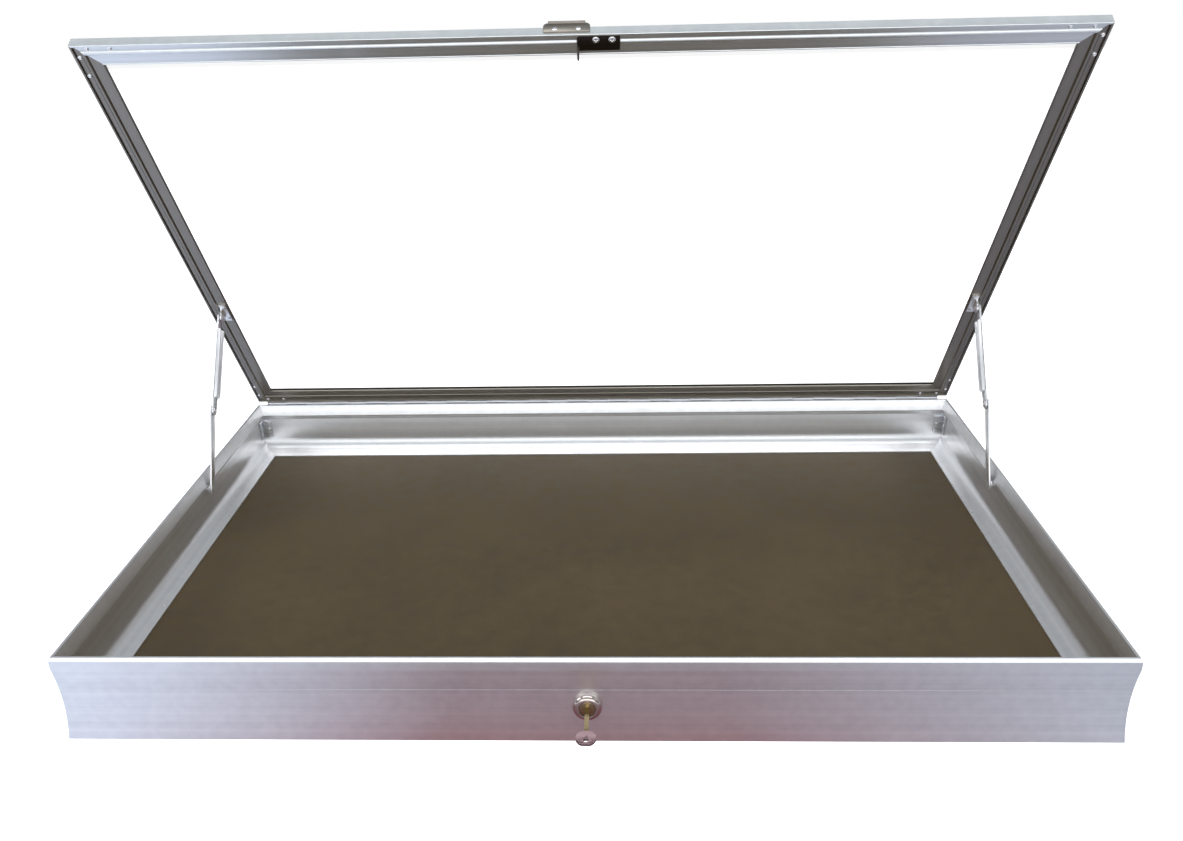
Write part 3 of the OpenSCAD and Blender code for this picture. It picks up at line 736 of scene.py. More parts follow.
@dataclass(frozen=True)
class Board:
    """The smooth face of a pressed fibre board: mottled brown, with fine fibres and a faint sheen."""

    name: str = "pressed hardboard"
    light: Point3 = (0.100, 0.066, 0.025)
    dark: Point3 = (0.074, 0.048, 0.017)
    fleck: Point3 = (0.05, 0.035, 0.02)

    def material(self) -> bpy.types.Material:
        """Builds the material.

        Returns:
            The finished material.
        """
        material, tree, shader = start_material(self.name)
        place = place_on_object(tree)
        clouds = noise(tree, place, 7.0, 5.0)
        mottle = noise(tree, place, 60.0, 6.0)
        fibres = noise(tree, place, 900.0, 3.0)
        blend = maths(tree, "MULTIPLY_ADD", mottle, 0.5, maths(tree, "MULTIPLY", clouds, 0.5))
        tone = ranged(tree, blend, 0.38, 0.62, 0.0, 1.0)
        base = mixed(tree, tone, (*self.dark, 1.0), (*self.light, 1.0))
        flecks = ranged(tree, fibres, 0.62, 0.78, 0.0, 0.35)
        flecked = mixed(tree, flecks, base, (*self.fleck, 1.0))
        tree.links.new(flecked, shader.inputs["Base Color"])
        tree.links.new(ranged(tree, mottle, 0.3, 0.7, 0.42, 0.56), shader.inputs["Roughness"])
        add_bump(tree, fibres, 0.15, 0.1 * MM)
        return material


@dataclass(frozen=True)
class Moulded:
    """A dark moulded material, such as a rubber seal or a plastic corner key."""

    name: str
    color: Point3
    rough: float = 0.6

    def material(self) -> bpy.types.Material:
        """Builds the material.

        Returns:
            The finished material.
        """
        material, tree, shader = start_material(self.name)
        place = place_on_object(tree)
        grain = noise(tree, place, 400.0, 4.0)
        lighter = tuple(c * 1.6 for c in self.color)
        tree.links.new(mixed(tree, grain, (*self.color, 1.0), (*lighter, 1.0)), shader.inputs["Base Color"])
        tree.links.new(ranged(tree, grain, 0.3, 0.7, self.rough - 0.08, self.rough + 0.08),
                       shader.inputs["Roughness"])
        add_bump(tree, grain, 0.2, 0.1 * MM)
        return material


@dataclass(frozen=True)
class ClearGlass:
    """A clean clear pane that lets light straight through, with the faintest smears."""

    name: str = "clear pane"

    def material(self) -> bpy.types.Material:
        """Builds the material.

        Returns:
            The finished material.
        """
        material, tree, shader = start_material(self.name)
        shader.inputs["Base Color"].default_value = (0.97, 0.99, 0.98, 1.0)
        shader.inputs["Metallic"].default_value = 0.0
        shader.inputs["Transmission Weight"].default_value = 1.0
        shader.inputs["IOR"].default_value = 1.45
        shader.inputs["Alpha"].default_value = 0.05
        smears = noise(tree, place_on_object(tree), 14.0, 4.0)
        tree.links.new(ranged(tree, smears, 0.4, 0.8, 0.0, 0.05), shader.inputs["Roughness"])
        return material


@dataclass
class Groups:
    """The node groups that several finishes share, each built once."""

    die_lines: bpy.types.NodeTree = field(default_factory=die_lines_group)
    wear: bpy.types.NodeTree = field(default_factory=wear_group)


CASE_METAL = Metal("extruded case aluminium", (0.90, 0.90, 0.91), (0.75, 0.75, 0.77), 0.36, 0.09, 0.015,
                   1500)
# The lid rails share one aluminium drawn in two tones: the front rail's pale colour is a painted bright
# reflection, and the dark warm colour of the other rails, beads and pull is a painted dark reflection.
LID_FRONT_BRIGHT_REFLECTION_METAL = Metal("extruded lid front aluminium", (0.86, 0.88, 0.89), (0.74, 0.76, 0.77), 0.34,
                        0.06, 0.02, 1600)
LID_DARK_REFLECTION_METAL = Metal("extruded lid aluminium", (0.31, 0.285, 0.25), (0.27, 0.245, 0.215), 0.30, 0.06, 0.02, 1600)
STAY_METAL = Metal("bright stay aluminium", (0.95, 0.95, 0.96), (0.90, 0.90, 0.92), 0.38, 0.1, 0.1, 1800)
BRACKET_METAL = Metal("bright bracket aluminium", (0.84, 0.86, 0.90), (0.76, 0.78, 0.82), 0.26, 0.1, 0.1, 1800)
HINGE_METAL = Metal("rolled hinge aluminium", (0.74, 0.75, 0.78), (0.66, 0.67, 0.70), 0.3, 0.12, 0.15, 1600)
PLATED = Metal("plated fastener steel", (0.94, 0.94, 0.95), (0.86, 0.86, 0.88), 0.2, 0.08, 0.05, 2200)
CHROME = Metal("polished lock plating", (0.62, 0.54, 0.51), (0.55, 0.47, 0.44), 0.10, 0.04, 0.02, 2500, 0.6)
BRASS = Metal("worn brass", (0.42, 0.33, 0.19), (0.32, 0.24, 0.13), 0.2, 0.1, 0.08, 2000, 0.5)
# The key bow is plated metal; its dark reddish colour is a painted reflection.
KEY_BOW_REFLECTION_METAL = Metal("worn plated key bow", (0.36, 0.24, 0.25), (0.28, 0.18, 0.19), 0.16, 0.08, 0.05, 2000, 0.6)
BRONZE = Metal("dark bronzed strike", (0.060, 0.048, 0.040), (0.040, 0.032, 0.027), 0.34, 0.1, 0.1, 1500, 0.8)
SPRING = Metal("spring steel", (0.78, 0.78, 0.80), (0.68, 0.68, 0.70), 0.25, 0.08, 0.08, 1800)


@dataclass
class Finishes:
    """Every finish on the frame, built once and shared by its pieces."""

    groups: Groups = field(default_factory=Groups)
    made: dict[str, bpy.types.Material] = field(default_factory=dict)

    def metal(self, finish: Metal, lay: Lay = ALONG_X) -> bpy.types.Material:
        """The material of a metal finish with its lines in one direction.

        Args:
            finish: The finish.
            lay: Which way its lines run.

        Returns:
            The material, made on its first use.
        """
        tag = {ALONG_X: "", ALONG_Y: " along y", ALONG_Z: " upright",
               ALONG_LID_SIDE: " along lid side"}[lay]
        key = finish.name + tag
        if key not in self.made:
            self.made[key] = finish.material(self.groups, lay, tag)
        return self.made[key]

    def plain(self, finish: Board | Moulded | ClearGlass) -> bpy.types.Material:
        """The material of a finish that has no draw direction.

        Args:
            finish: The finish.

        Returns:
            The material, made on its first use.
        """
        if finish.name not in self.made:
            self.made[finish.name] = finish.material()
        return self.made[finish.name]


def paint_node(node: str, material: bpy.types.Material) -> None:
    """Gives a CAD node that stays visible a better material in its own slots.

    Args:
        node: The node's name.
        material: Its new material.
    """
    obj = frame["nodes"][node]
    if not obj.data.materials:
        obj.data.materials.append(material)
    for index in range(len(obj.data.materials)):
        obj.data.materials[index] = material


# --------------------------------------------------------------------------- sections


@dataclass(frozen=True)
class CaseSection:
    """Section of the case extrusion: u runs in from the outer face, z up from the ground."""

    height: float
    skin: float = 1.8 * MM
    cove_depth: float = 3.0 * MM
    cove_z: float = 30.0 * MM
    land: float = 10.0 * MM
    rim_band: float = 3.0 * MM
    lip: float = 3.5 * MM
    crease_u: float = 7.0 * MM
    crease_drop: float = 12.5 * MM
    groove_z: float = 49.0 * MM
    groove_in: float = 0.12 * MM
    groove_h: float = 0.8 * MM
    web_r: float = 16.0 * MM
    web_top: float = 37.0 * MM
    web_turn: float = 55.0
    web_end: float = 20.0 * MM
    panel_z: float = 12.9 * MM
    panel_top: float = 16.1 * MM
    shelf: float = 1.6 * MM
    foot: float = 8.0 * MM

    @property
    def cove_r(self) -> float:
        """Radius of the hollowed outer face."""
        rise = self.height - self.land - self.cove_z
        return (rise ** 2 + self.cove_depth ** 2) / (2 * self.cove_depth)

    @property
    def crease_z(self) -> float:
        """Height of the crease under the rim, on the inside."""
        return self.height - self.crease_drop

    def wall(self, inward: float, z: float) -> float:
        """Place of the hollowed wall at a height, or of a face that far inward of it."""
        reach = math.sqrt((self.cove_r + inward) ** 2 - (z - self.cove_z) ** 2)
        return self.cove_depth - self.cove_r + reach

    def wall_line(self, inward: float, start: float, end: float, steps: int) -> list[Point]:
        """Points down or up the hollowed wall.

        Args:
            inward: Distance in from the outer face.
            start: First height.
            end: Last height.
            steps: Number of stretches between them.

        Returns:
            The points, both ends included.
        """
        heights = [start + (end - start) * i / steps for i in range(steps + 1)]
        return [(self.wall(inward, z), z) for z in heights]

    def outline(self) -> list[Point]:
        """The whole section, from the bottom of the outer face up, over the rim and back down.

        Returns:
            The corners in order.
        """
        turn = math.radians(self.web_turn)
        middle = (self.wall(self.skin, self.web_top) + self.web_r, self.web_top)
        knee = (middle[0] - self.web_r * math.cos(turn), middle[1] - self.web_r * math.sin(turn))
        tip_z = knee[1] - (self.web_end - knee[0]) / math.tan(turn)
        outer_r = self.web_r + self.skin
        meet = math.degrees(math.acos((middle[0] - self.cove_depth - self.skin) / outer_r))
        under = middle[1] - outer_r * math.sin(math.radians(meet)) - 1 * MM
        groove_top = self.groove_z + self.groove_h
        seat = self.panel_top + 0.2 * MM
        band = self.height - self.rim_band
        return (
            self.wall_line(0, 0, self.groove_z, 26)
            + [(self.wall(self.groove_in, z), z) for z in (self.groove_z, groove_top)]
            + self.wall_line(0, groove_top, self.height - self.land, 10)
            + [(0, band), (0.15 * MM, band + 0.25 * MM), (1.0 * MM, self.height - 0.45 * MM),
               (1.2 * MM, self.height - 0.15 * MM), (1.5 * MM, self.height)]
            + [(self.lip - 0.4 * MM, self.height), (self.lip, self.height - 0.3 * MM)]
            + [(self.crease_u - 0.1 * MM, self.crease_z + 0.4 * MM), (self.crease_u, self.crease_z - 0.3 * MM),
               (self.crease_u - 0.2 * MM, self.crease_z - 1.2 * MM)]
            + self.wall_line(self.skin, self.crease_z - 6 * MM, self.web_top + 1 * MM, 12)
            + arc(middle, self.web_r, 180, 180 + self.web_turn, 18)
            + [(self.web_end - 0.3 * MM, tip_z + 0.25 * MM), (self.web_end, tip_z - 0.2 * MM),
               (self.web_end, seat), (self.web_end - 3 * MM, seat)]
            + arc(middle, outer_r, 180 + self.web_turn, 180 + meet, 8)
            + self.wall_line(self.skin, under, self.panel_z, 4)
            + [(self.web_end, self.panel_z), (self.web_end, self.panel_z - self.shelf)]
            + self.wall_line(self.skin, self.panel_z - self.shelf, self.shelf, 3)
            + [(self.wall(0, 0) + self.foot, self.shelf), (self.wall(0, 0) + self.foot, 0)])


@dataclass(frozen=True)
class LidSection:
    """Section of the lid extrusion: u runs in from its outer face, z up from its underside."""

    thick: float
    face: float = 22.0 * MM
    tube: float = 12.0 * MM
    wall: float = 1.5 * MM
    lip: float = 2.0 * MM
    lip_drop: float = 1.8 * MM
    rib: Point = (9.1 * MM, 2.5 * MM)
    rib_drop: float = 1.4 * MM
    edge_r: float = 0.8 * MM
    glass_top: float = 5.1 * MM
    bead: float = 8.0 * MM

    def outline(self) -> list[Point]:
        """The rail's section, down its outer face, along its underside and back over the top.

        Returns:
            The corners in order.
        """
        middle, half = self.rib
        radius = (half ** 2 + self.rib_drop ** 2) / (2 * self.rib_drop)
        sweep = math.degrees(math.asin(half / radius))
        edge = (self.face - self.edge_r, self.edge_r / 2)
        soft = 0.3 * MM
        return (
            [(0, self.thick - soft), (0, soft - self.lip_drop), (soft, -self.lip_drop),
             (self.lip - soft, -self.lip_drop), (self.lip, soft - self.lip_drop), (self.lip, 0)]
            + arc((middle, radius - self.rib_drop), radius, 270 - sweep, 270 + sweep, 12)
            + arc(edge, self.edge_r, 210, 360, 8)
            + [(self.face, self.wall), (self.tube, self.wall), (self.tube, self.thick - soft),
               (self.tube - soft, self.thick), (soft, self.thick)])

    def bead_outline(self) -> list[Point]:
        """Section of the glazing bead that lies over the edge of the glass."""
        low, top = self.glass_top, self.thick - 0.6 * MM
        return [(self.tube, low), (self.tube + self.bead, low), (self.tube + self.bead, low + 0.6 * MM),
                (self.tube + self.bead - 0.4 * MM, low + 0.9 * MM), (self.tube + 2 * MM, top - 0.1 * MM),
                (self.tube + 1.4 * MM, top), (self.tube, top)]


@dataclass(frozen=True)
class MitredFrame:
    """A rectangle of rails of one section, cut at 45 degrees at the corners."""

    width: float
    depth: float
    lift: float = 0.0
    joint: float = 0.06 * MM

    def rail(self, name: str, outline: Sequence[Point], edge: Edge) -> Workpiece:
        """Models one rail.

        Args:
            name: The piece's name.
            outline: Its section.
            edge: The side of the frame that it forms.

        Returns:
            The rail in its place.
        """
        along_x = edge in (Edge.FRONT, Edge.REAR)
        length, across = (self.width, self.depth) if along_x else (self.depth, self.width)
        piece = Workpiece.bar(name, outline, length / 2,
                              lambda u, z: Vector((0, u - across / 2, z + self.lift)), Vector((1, 0, 0)))
        for end in (-1, 1):
            corner = Vector((end * (length / 2 - self.joint), -across / 2, 0))
            piece.cut(corner, Vector((end, 1, 0)).normalized())
        return piece.place(Matrix.Rotation(math.radians(edge.value), 4, "Z")).face_out()


def aimed(place: Vector | Point3, toward: Vector | Point3) -> Matrix:
    """The move that takes a piece standing on the origin along +Z to a place and direction."""
    turn = Vector((0, 0, 1)).rotation_difference(Vector(toward)).to_matrix().to_4x4()
    return Matrix.Translation(Vector(place)) @ turn


MIRROR_X = Matrix.Diagonal((-1, 1, 1, 1))
MIRROR_Y = Matrix.Diagonal((1, -1, 1, 1))


# --------------------------------------------------------------------------- fasteners


@dataclass(frozen=True)
class DomedHead:
    """The head of a rivet or screw, standing on the origin with its dome along +Z."""

    radius: float
    height: float
    recess: float = 0.0

    def model(self, name: str) -> Workpiece:
        """Turns the head on the lathe, and cuts a cross recess if it has one.

        Args:
            name: The piece's name.

        Returns:
            The head.
        """
        rim = self.height * 0.28
        dome = [(self.radius * math.cos(a), rim + (self.height - rim) * math.sin(a))
                for a in (math.radians(90 - 15 * i) for i in range(7))]
        profile = [(0.0, self.height)] + dome[1:] + [(self.radius, 0.0), (self.radius * 0.5, -0.5 * MM),
                                                     (0.0, -0.5 * MM)]
        head = Workpiece.turned(name, profile, 24)
        if self.recess:
            for turn in (0, 90):
                size = (self.recess, self.recess / 4, 1.2 * MM)
                slot = Workpiece.from_primitive("slot", location=(0, 0, self.height), scale=size)
                head.minus(slot.place(Matrix.Rotation(math.radians(turn), 4, "Z")))
        return head.smooth(40)

    def set_out(self, name: str, places: Sequence[Matrix]) -> Workpiece:
        """Models the head once and copies it to every place, as one piece.

        Args:
            name: The piece's name.
            places: The move from the origin to each place.

        Returns:
            The joined heads.
        """
        first = self.model(name)
        copies = [first.copy(f"{name}_{i}").place(place) for i, place in enumerate(places[1:])]
        return first.place(places[0]).join(*copies)


# --------------------------------------------------------------------------- sub-assemblies


@dataclass
class Case:
    """The shallow case: rails, corner brackets and the rivets that hold the base panel."""

    finishes: "Finishes"
    section: CaseSection = field(default_factory=lambda: CaseSection(SIZES.height))
    bracket_leg: float = 16.0 * MM
    bracket_t: float = 1.5 * MM
    bracket_rivet: float = 12.4 * MM
    pocket_r: float = 12.0 * MM
    pocket_start: float = 5.0 * MM
    pocket_length: float = 40.0 * MM
    rivet_r: float = 2.6 * MM
    rivet_pair: float = 19.0 * MM

    @property
    def bracket_low(self) -> float:
        """Height of the lower edge of the corner brackets."""
        return self.section.web_top + 0.5 * MM

    @property
    def bracket_high(self) -> float:
        """Height of the upper edge of the corner brackets."""
        return self.section.crease_z - 7 * MM

    @property
    def frame(self) -> MitredFrame:
        """The rectangle that the rails stand round."""
        return MitredFrame(SIZES.width, SIZES.depth)

    def build(self) -> None:
        """Models and dresses the case."""
        self.build_rails()
        self.build_brackets()
        self.build_rivets()

    def build_rails(self) -> None:
        """Models the four rails, and opens the front one for the lock."""
        for edge in Edge:
            node = f"{edge.name.lower()}_rail"
            rail = self.frame.rail(f"{node}_extrusion", self.section.outline(), edge)
            if edge is Edge.FRONT:
                start = Vector((Lock.x, self.pocket_start - SIZES.depth / 2, Lock.z))
                rail.minus(Workpiece.cylinder("pocket", self.pocket_r, start, "Y", self.pocket_length))
            lay = ALONG_X if edge in (Edge.FRONT, Edge.REAR) else ALONG_Y
            dress(rail.smooth(28), self.finishes.metal(CASE_METAL, lay), "case", "case_aluminium", node)

    def bracket_outline(self) -> list[Point]:
        """Section of a corner bracket, which follows the inside of the wall.

        Returns:
            The corners in order.
        """
        low, high = self.bracket_low, self.bracket_high
        outer = self.section.wall_line(self.section.skin + 0.05 * MM, low, high, 8)
        inner = self.section.wall_line(self.section.skin + self.bracket_t, high, low, 8)
        return rounded(outer + inner, 0.35 * MM, 60)

    def build_brackets(self) -> None:
        """Models the front left bracket and mirrors it to the other corners."""
        legs = [self.frame.rail(f"leg_{edge.name}", self.bracket_outline(), edge)
                for edge in (Edge.FRONT, Edge.LEFT)]
        corner = Vector((-SIZES.width / 2, -SIZES.depth / 2, 0))
        legs[0].cut(corner + Vector((self.bracket_leg, 0, 0)), Vector((1, 0, 0)))
        legs[1].cut(corner + Vector((0, self.bracket_leg, 0)), Vector((0, 1, 0)))
        first = legs[0].join(legs[1]).face_out()
        turns = {"front_left": Matrix.Identity(4), "front_right": MIRROR_X, "rear_left": MIRROR_Y,
                 "rear_right": MIRROR_X @ MIRROR_Y}
        metal = self.finishes.metal(BRACKET_METAL)
        for corner_name, turn in turns.items():
            node = f"corner_bracket_{corner_name}"
            piece = first.copy(f"{node}_bent").place(turn).face_out().bevel(0.15 * MM, 1).smooth()
            dress(piece, metal, "case", "bracket_aluminium", node)
        bpy.data.objects.remove(first.obj, do_unlink=True)

    def build_rivets(self) -> None:
        """Sets the rivets of the brackets and of the base panel."""
        half_w, half_d, skin = SIZES.width / 2, SIZES.depth / 2, self.section.skin
        z = (self.bracket_low + self.bracket_high) / 2
        u, along = self.section.wall(skin, z) + self.bracket_t, self.bracket_rivet
        places = []
        for sx in (-1, 1):
            for sy in (-1, 1):
                places.append(aimed((sx * (half_w - along), sy * (half_d - u), z), (0, -sy, 0)))
                places.append(aimed((sx * (half_w - u), sy * (half_d - along), z), (-sx, 0, 0)))
        plated = self.finishes.metal(PLATED)
        dress(DomedHead(1.55 * MM, 0.7 * MM).set_out("corner_rivets_set", places), plated, "case",
              "fastener_steel", "corner_rivets")
        low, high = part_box("panel_rivets")
        top, foot = high.z - 1.2 * MM, low.z + 1.0 * MM
        end_x, end_y = high.x - self.rivet_r, high.y - self.rivet_r
        along_x = (-SIZES.width / 4, -self.rivet_pair, self.rivet_pair, SIZES.width / 4)
        along_y = (-0.18 * SIZES.depth, 0.16 * SIZES.depth)
        spots = [(x, s * end_y) for x in along_x for s in (-1, 1)]
        spots += [(s * end_x, y) for y in along_y for s in (-1, 1)]
        ups = [aimed((x, y, top), (0, 0, 1)) for x, y in spots]
        downs = [aimed((x, y, foot), (0, 0, -1)) for x, y in spots]
        dress(DomedHead(self.rivet_r, 1.0 * MM).set_out("panel_rivets_set", ups + downs), plated, "case",
              "fastener_steel", "panel_rivets")


@dataclass
class Lock:
    """The cam lock in the front rail: domed head, plug face and the key."""

    finishes: "Finishes"
    x: ClassVar[float] = 1.5 * MM
    z: ClassVar[float] = 34.0 * MM
    head_r: float = 12.0 * MM
    head_out: float = 6.0 * MM
    barrel_r: float = 8.0 * MM
    barrel: float = 16.0 * MM
    bore_r: float = 5.3 * MM
    pitch: float = 1.0 * MM
    face_in: float = 0.7 * MM
    shank: float = 28.0 * MM
    blade: float = 15.0 * MM
    bitting: tuple[float, ...] = (0.5 * MM, 0.9 * MM, 0.4 * MM, 0.8 * MM, 0.6 * MM)

    @property
    def front(self) -> Vector:
        """The middle of the lock where its head meets the rail."""
        seat = CaseSection(SIZES.height).wall(0, self.z + self.head_r)
        return Vector((self.x, -SIZES.depth / 2 + seat, self.z))

    def build(self) -> None:
        """Models and dresses the lock."""
        outward = aimed(self.front, (0, -1, 0))
        body = Workpiece.turned("lock_body_turned", self.body_profile(), 64).place(outward)
        dress(body.smooth(38), self.finishes.metal(CHROME), "case", "lock_chrome", "lock_body")
        self.build_plug(outward)
        self.build_key()

    def body_profile(self) -> list[Point]:
        """Profile of the head and threaded barrel, from the hole in its face round to the back.

        Returns:
            Points of radius and height.
        """
        lip, r, out = 7.0 * MM, self.head_r, self.head_out
        dome = [(lip + 0.5 * MM + (r - lip - 0.5 * MM) * math.sin(a), out - (out - 2 * MM) * (1 - math.cos(a)))
                for a in (math.radians(9 * i) for i in range(11))]
        thread: list[Point] = []
        for i in range(int(self.barrel / self.pitch) - 1):
            thread += [(self.barrel_r, -(i + 0.2) * self.pitch),
                       (self.barrel_r - 0.35 * MM, -(i + 0.6) * self.pitch)]
        return ([(self.bore_r, out - 2 * MM), (lip, out - 2 * MM), (lip, out - 0.2 * MM)] + dome
                + [(r, 0.35 * MM), (r - 0.3 * MM, 0.0), (self.barrel_r, 0.0)] + thread
                + [(self.barrel_r - 0.5 * MM, -self.barrel), (self.bore_r, -self.barrel),
                   (self.bore_r, out - 2 * MM)])

    def build_plug(self, outward: Matrix) -> None:
        """Models the plug with its keyway, and the square drive behind it.

        Args:
            outward: The move from the lathe to the rail.
        """
        face = self.head_out - self.face_in
        rim, stem, end = 6.6 * MM, self.bore_r - 0.1 * MM, -self.barrel - 0.4 * MM
        profile = [(0.0, face), (rim - 0.7 * MM, face), (rim - 0.2 * MM, face - 0.2 * MM),
                   (rim, face - 0.6 * MM), (rim, face - 1.2 * MM), (stem, face - 1.25 * MM),
                   (stem, end), (0.0, end)]
        plug = Workpiece.turned("lock_plug_turned", profile, 48).place(outward)
        keyway = Workpiece.from_primitive(
            "keyway", location=self.front - Vector((0, face, 0)), scale=(4.2 * MM, 20 * MM, 2.2 * MM))
        drive = Workpiece.from_primitive(
            "drive", location=self.front + Vector((0, self.barrel + 1.1 * MM, 0)),
            scale=(6 * MM, 1.8 * MM, 6 * MM))
        plug.minus(keyway).join(drive.bevel(0.2 * MM, 1))
        dress(plug.smooth(35), self.finishes.metal(BRASS), "lock_plug", "lock_brass", "lock_plug")

    def build_key(self) -> None:
        """Models the key: a cut brass blade, and a plated bow with a hole for a ring."""
        face = self.front - Vector((0, self.head_out - self.face_in, 0))
        half_w, reach = 1.9 * MM, self.blade
        cuts = [(half_w, reach - 1 * MM), (half_w - 0.8 * MM, reach)]
        for i, deep in enumerate(self.bitting):
            y = 11.5 * MM - i * 2.4 * MM
            cuts = [(half_w, y - 0.9 * MM), (half_w - deep, y - 0.3 * MM),
                    (half_w - deep, y + 0.3 * MM), (half_w, y + 0.9 * MM)] + cuts
        outline = [(-half_w, -self.shank), (half_w, -self.shank)] + cuts + [(0.6 * MM - half_w, reach),
                                                                            (-half_w, reach - 1 * MM)]
        blade = Workpiece.bar("key_blade", outline, 0.85 * MM, lambda x, y: face + Vector((x, y, 0)),
                              Vector((0, 0, 1))).bevel(0.15 * MM, 2).smooth()
        dress(blade, self.finishes.metal(BRASS, ALONG_Y), "key", "key_brass", "key")
        corners = [(-4, 0), (4, 0), (8, -4.5), (8, -11), (4.6, -16), (-4.6, -16), (-8, -11), (-8, -4.5)]
        shape = rounded([(x * MM, y * MM - self.shank) for x, y in corners], 2.2 * MM, 10, 5)
        bow = Workpiece.bar("key_bow", shape, 1.2 * MM, lambda x, y: face + Vector((x, y, 0)),
                            Vector((0, 0, 1)))
        hole = face + Vector((0, -self.shank - 11.5 * MM, -3 * MM))
        bow.minus(Workpiece.cylinder("ring hole", 1.9 * MM, hole, "Z", 6 * MM, 32)).bevel(0.45 * MM, 3)
        # The bow's dark reddish colour is a painted reflection.
        dress(bow.smooth(), self.finishes.metal(KEY_BOW_REFLECTION_METAL), "key", "key_brass")


@dataclass
class Lid:
    """The hinged lid: rails, beads and corner screws, drawn closed and then turned open."""

    finishes: "Finishes"
    section: LidSection = field(default_factory=lambda: LidSection(SIZES.lid_t))
    relief_x: float = 16.2 * MM
    relief_size: Point3 = (36.4 * MM, 12.0 * MM, 4.0 * MM)
    screw_near: float = 4.3 * MM
    screw_far: Point = (13.5 * MM, 33.3 * MM)

    def open_up(self, piece: Workpiece) -> Workpiece:
        """Turns a piece that was drawn on the closed lid to its rest place."""
        return piece.place(SIZES.opening)

    def build(self) -> None:
        """Models and dresses the lid."""
        frame_of_rails = MitredFrame(SIZES.lid_width, SIZES.depth, SIZES.lid_z)
        for edge in Edge:
            lay = ALONG_X if edge in (Edge.FRONT, Edge.REAR) else ALONG_LID_SIDE
            place = edge.name.lower()
            rail = frame_of_rails.rail(f"lid_{place}_extrusion", self.section.outline(), edge)
            if edge is Edge.FRONT:
                middle = (Strike.x + self.relief_x, 10 * MM - SIZES.depth / 2, SIZES.lid_z - 2 * MM)
                rail.minus(Workpiece.from_primitive("relief", location=middle, scale=self.relief_size))
            # Pale front rail and dark other rails: painted bright and painted dark reflections on one aluminium.
            metal = LID_FRONT_BRIGHT_REFLECTION_METAL if edge is Edge.FRONT else LID_DARK_REFLECTION_METAL
            dress(self.open_up(rail).smooth(28), self.finishes.metal(metal, lay), "lid",
                  "lid_aluminium", f"lid_{place}_rail")
            bead = frame_of_rails.rail(f"bead_{place}_extrusion", self.section.bead_outline(), edge)
            dress(self.open_up(bead).smooth(28), self.finishes.metal(metal, lay), "lid",
                  "bead_aluminium", f"glazing_bead_{place}")
        self.build_screws()

    def build_screws(self) -> None:
        """Sets the four screws of each corner."""
        near, places = self.screw_near, []
        for sx in (-1, 1):
            for sy in (-1, 1):
                for far in self.screw_far:
                    for x, y in ((far, near), (near, far)):
                        spot = (sx * (SIZES.lid_width / 2 - x), sy * (SIZES.depth / 2 - y), SIZES.lid_z)
                        places.append(aimed(spot, (0, 0, -1)))
        screws = DomedHead(2.2 * MM, 1.2 * MM, 2.0 * MM).set_out("lid_corner_screws_set", places)
        dress(self.open_up(screws), self.finishes.metal(PLATED), "lid", "fastener_steel",
              "lid_corner_screws")


@dataclass
class Strike:
    """The dark bent plate that the lock's cam hooks into, with its two screws."""

    finishes: "Finishes"
    x: ClassVar[float] = -2.0 * MM
    length: float = 34.0 * MM
    width: float = 14.0 * MM
    edge: float = 2.8 * MM
    thick: float = 1.5 * MM
    drop: float = 13.8 * MM
    tab: float = 7.8 * MM
    bend: float = 2.6 * MM

    def outline(self) -> list[Point]:
        """The bent strip seen from the front: x along the plate, z down the tab.

        Returns:
            The corners in order.
        """
        top, outer = SIZES.lid_z, self.x - self.thick
        low = top - self.thick
        outside = arc((outer + self.bend, top - self.bend), self.bend, 180, 90, 6)
        inside = arc((outer + self.bend, top - self.bend), self.bend - self.thick, 90, 180, 6)
        end = self.x + self.length
        return ([(outer + 0.5 * MM, top - self.drop), (outer, top - self.drop + 0.6 * MM)] + outside
                + [(end, top), (end, low)] + inside
                + [(self.x, top - self.drop + 0.6 * MM), (self.x - 0.5 * MM, top - self.drop)])

    def build(self) -> None:
        """Models and dresses the strike."""
        middle = self.edge + self.width / 2 - SIZES.depth / 2
        plate = Workpiece.bar("strike_plate_bent", self.outline(), self.width / 2,
                              lambda x, z: Vector((x, middle, z)), Vector((0, 1, 0)))
        tab_y = self.edge + self.width - self.tab - SIZES.depth / 2
        front = Workpiece.from_primitive("front", location=(self.x, tab_y - 10 * MM, SIZES.lid_z - 22.7 * MM),
                                         scale=(8 * MM, 20 * MM, 40 * MM))
        window = Workpiece.from_primitive(
            "window", location=(self.x, tab_y + self.tab / 2, SIZES.lid_z - self.drop + 6 * MM),
            scale=(8 * MM, 4.4 * MM, 7.2 * MM))
        plate.minus(front, window).bevel(0.25 * MM, 2)
        dress(plate.place(SIZES.opening).smooth(), self.finishes.metal(BRONZE), "lid", "strike_bronze",
              "strike_plate")
        places = [aimed((self.x + dx, 5.6 * MM - SIZES.depth / 2, SIZES.lid_z - self.thick), (0, 0, -1))
                  for dx in (14 * MM, 27.5 * MM)]
        screws = DomedHead(3.1 * MM, 1.3 * MM, 3.4 * MM).set_out("strike_screws_set", places)
        dress(screws.place(SIZES.opening), self.finishes.metal(PLATED), "lid", "fastener_steel",
              "strike_screws")


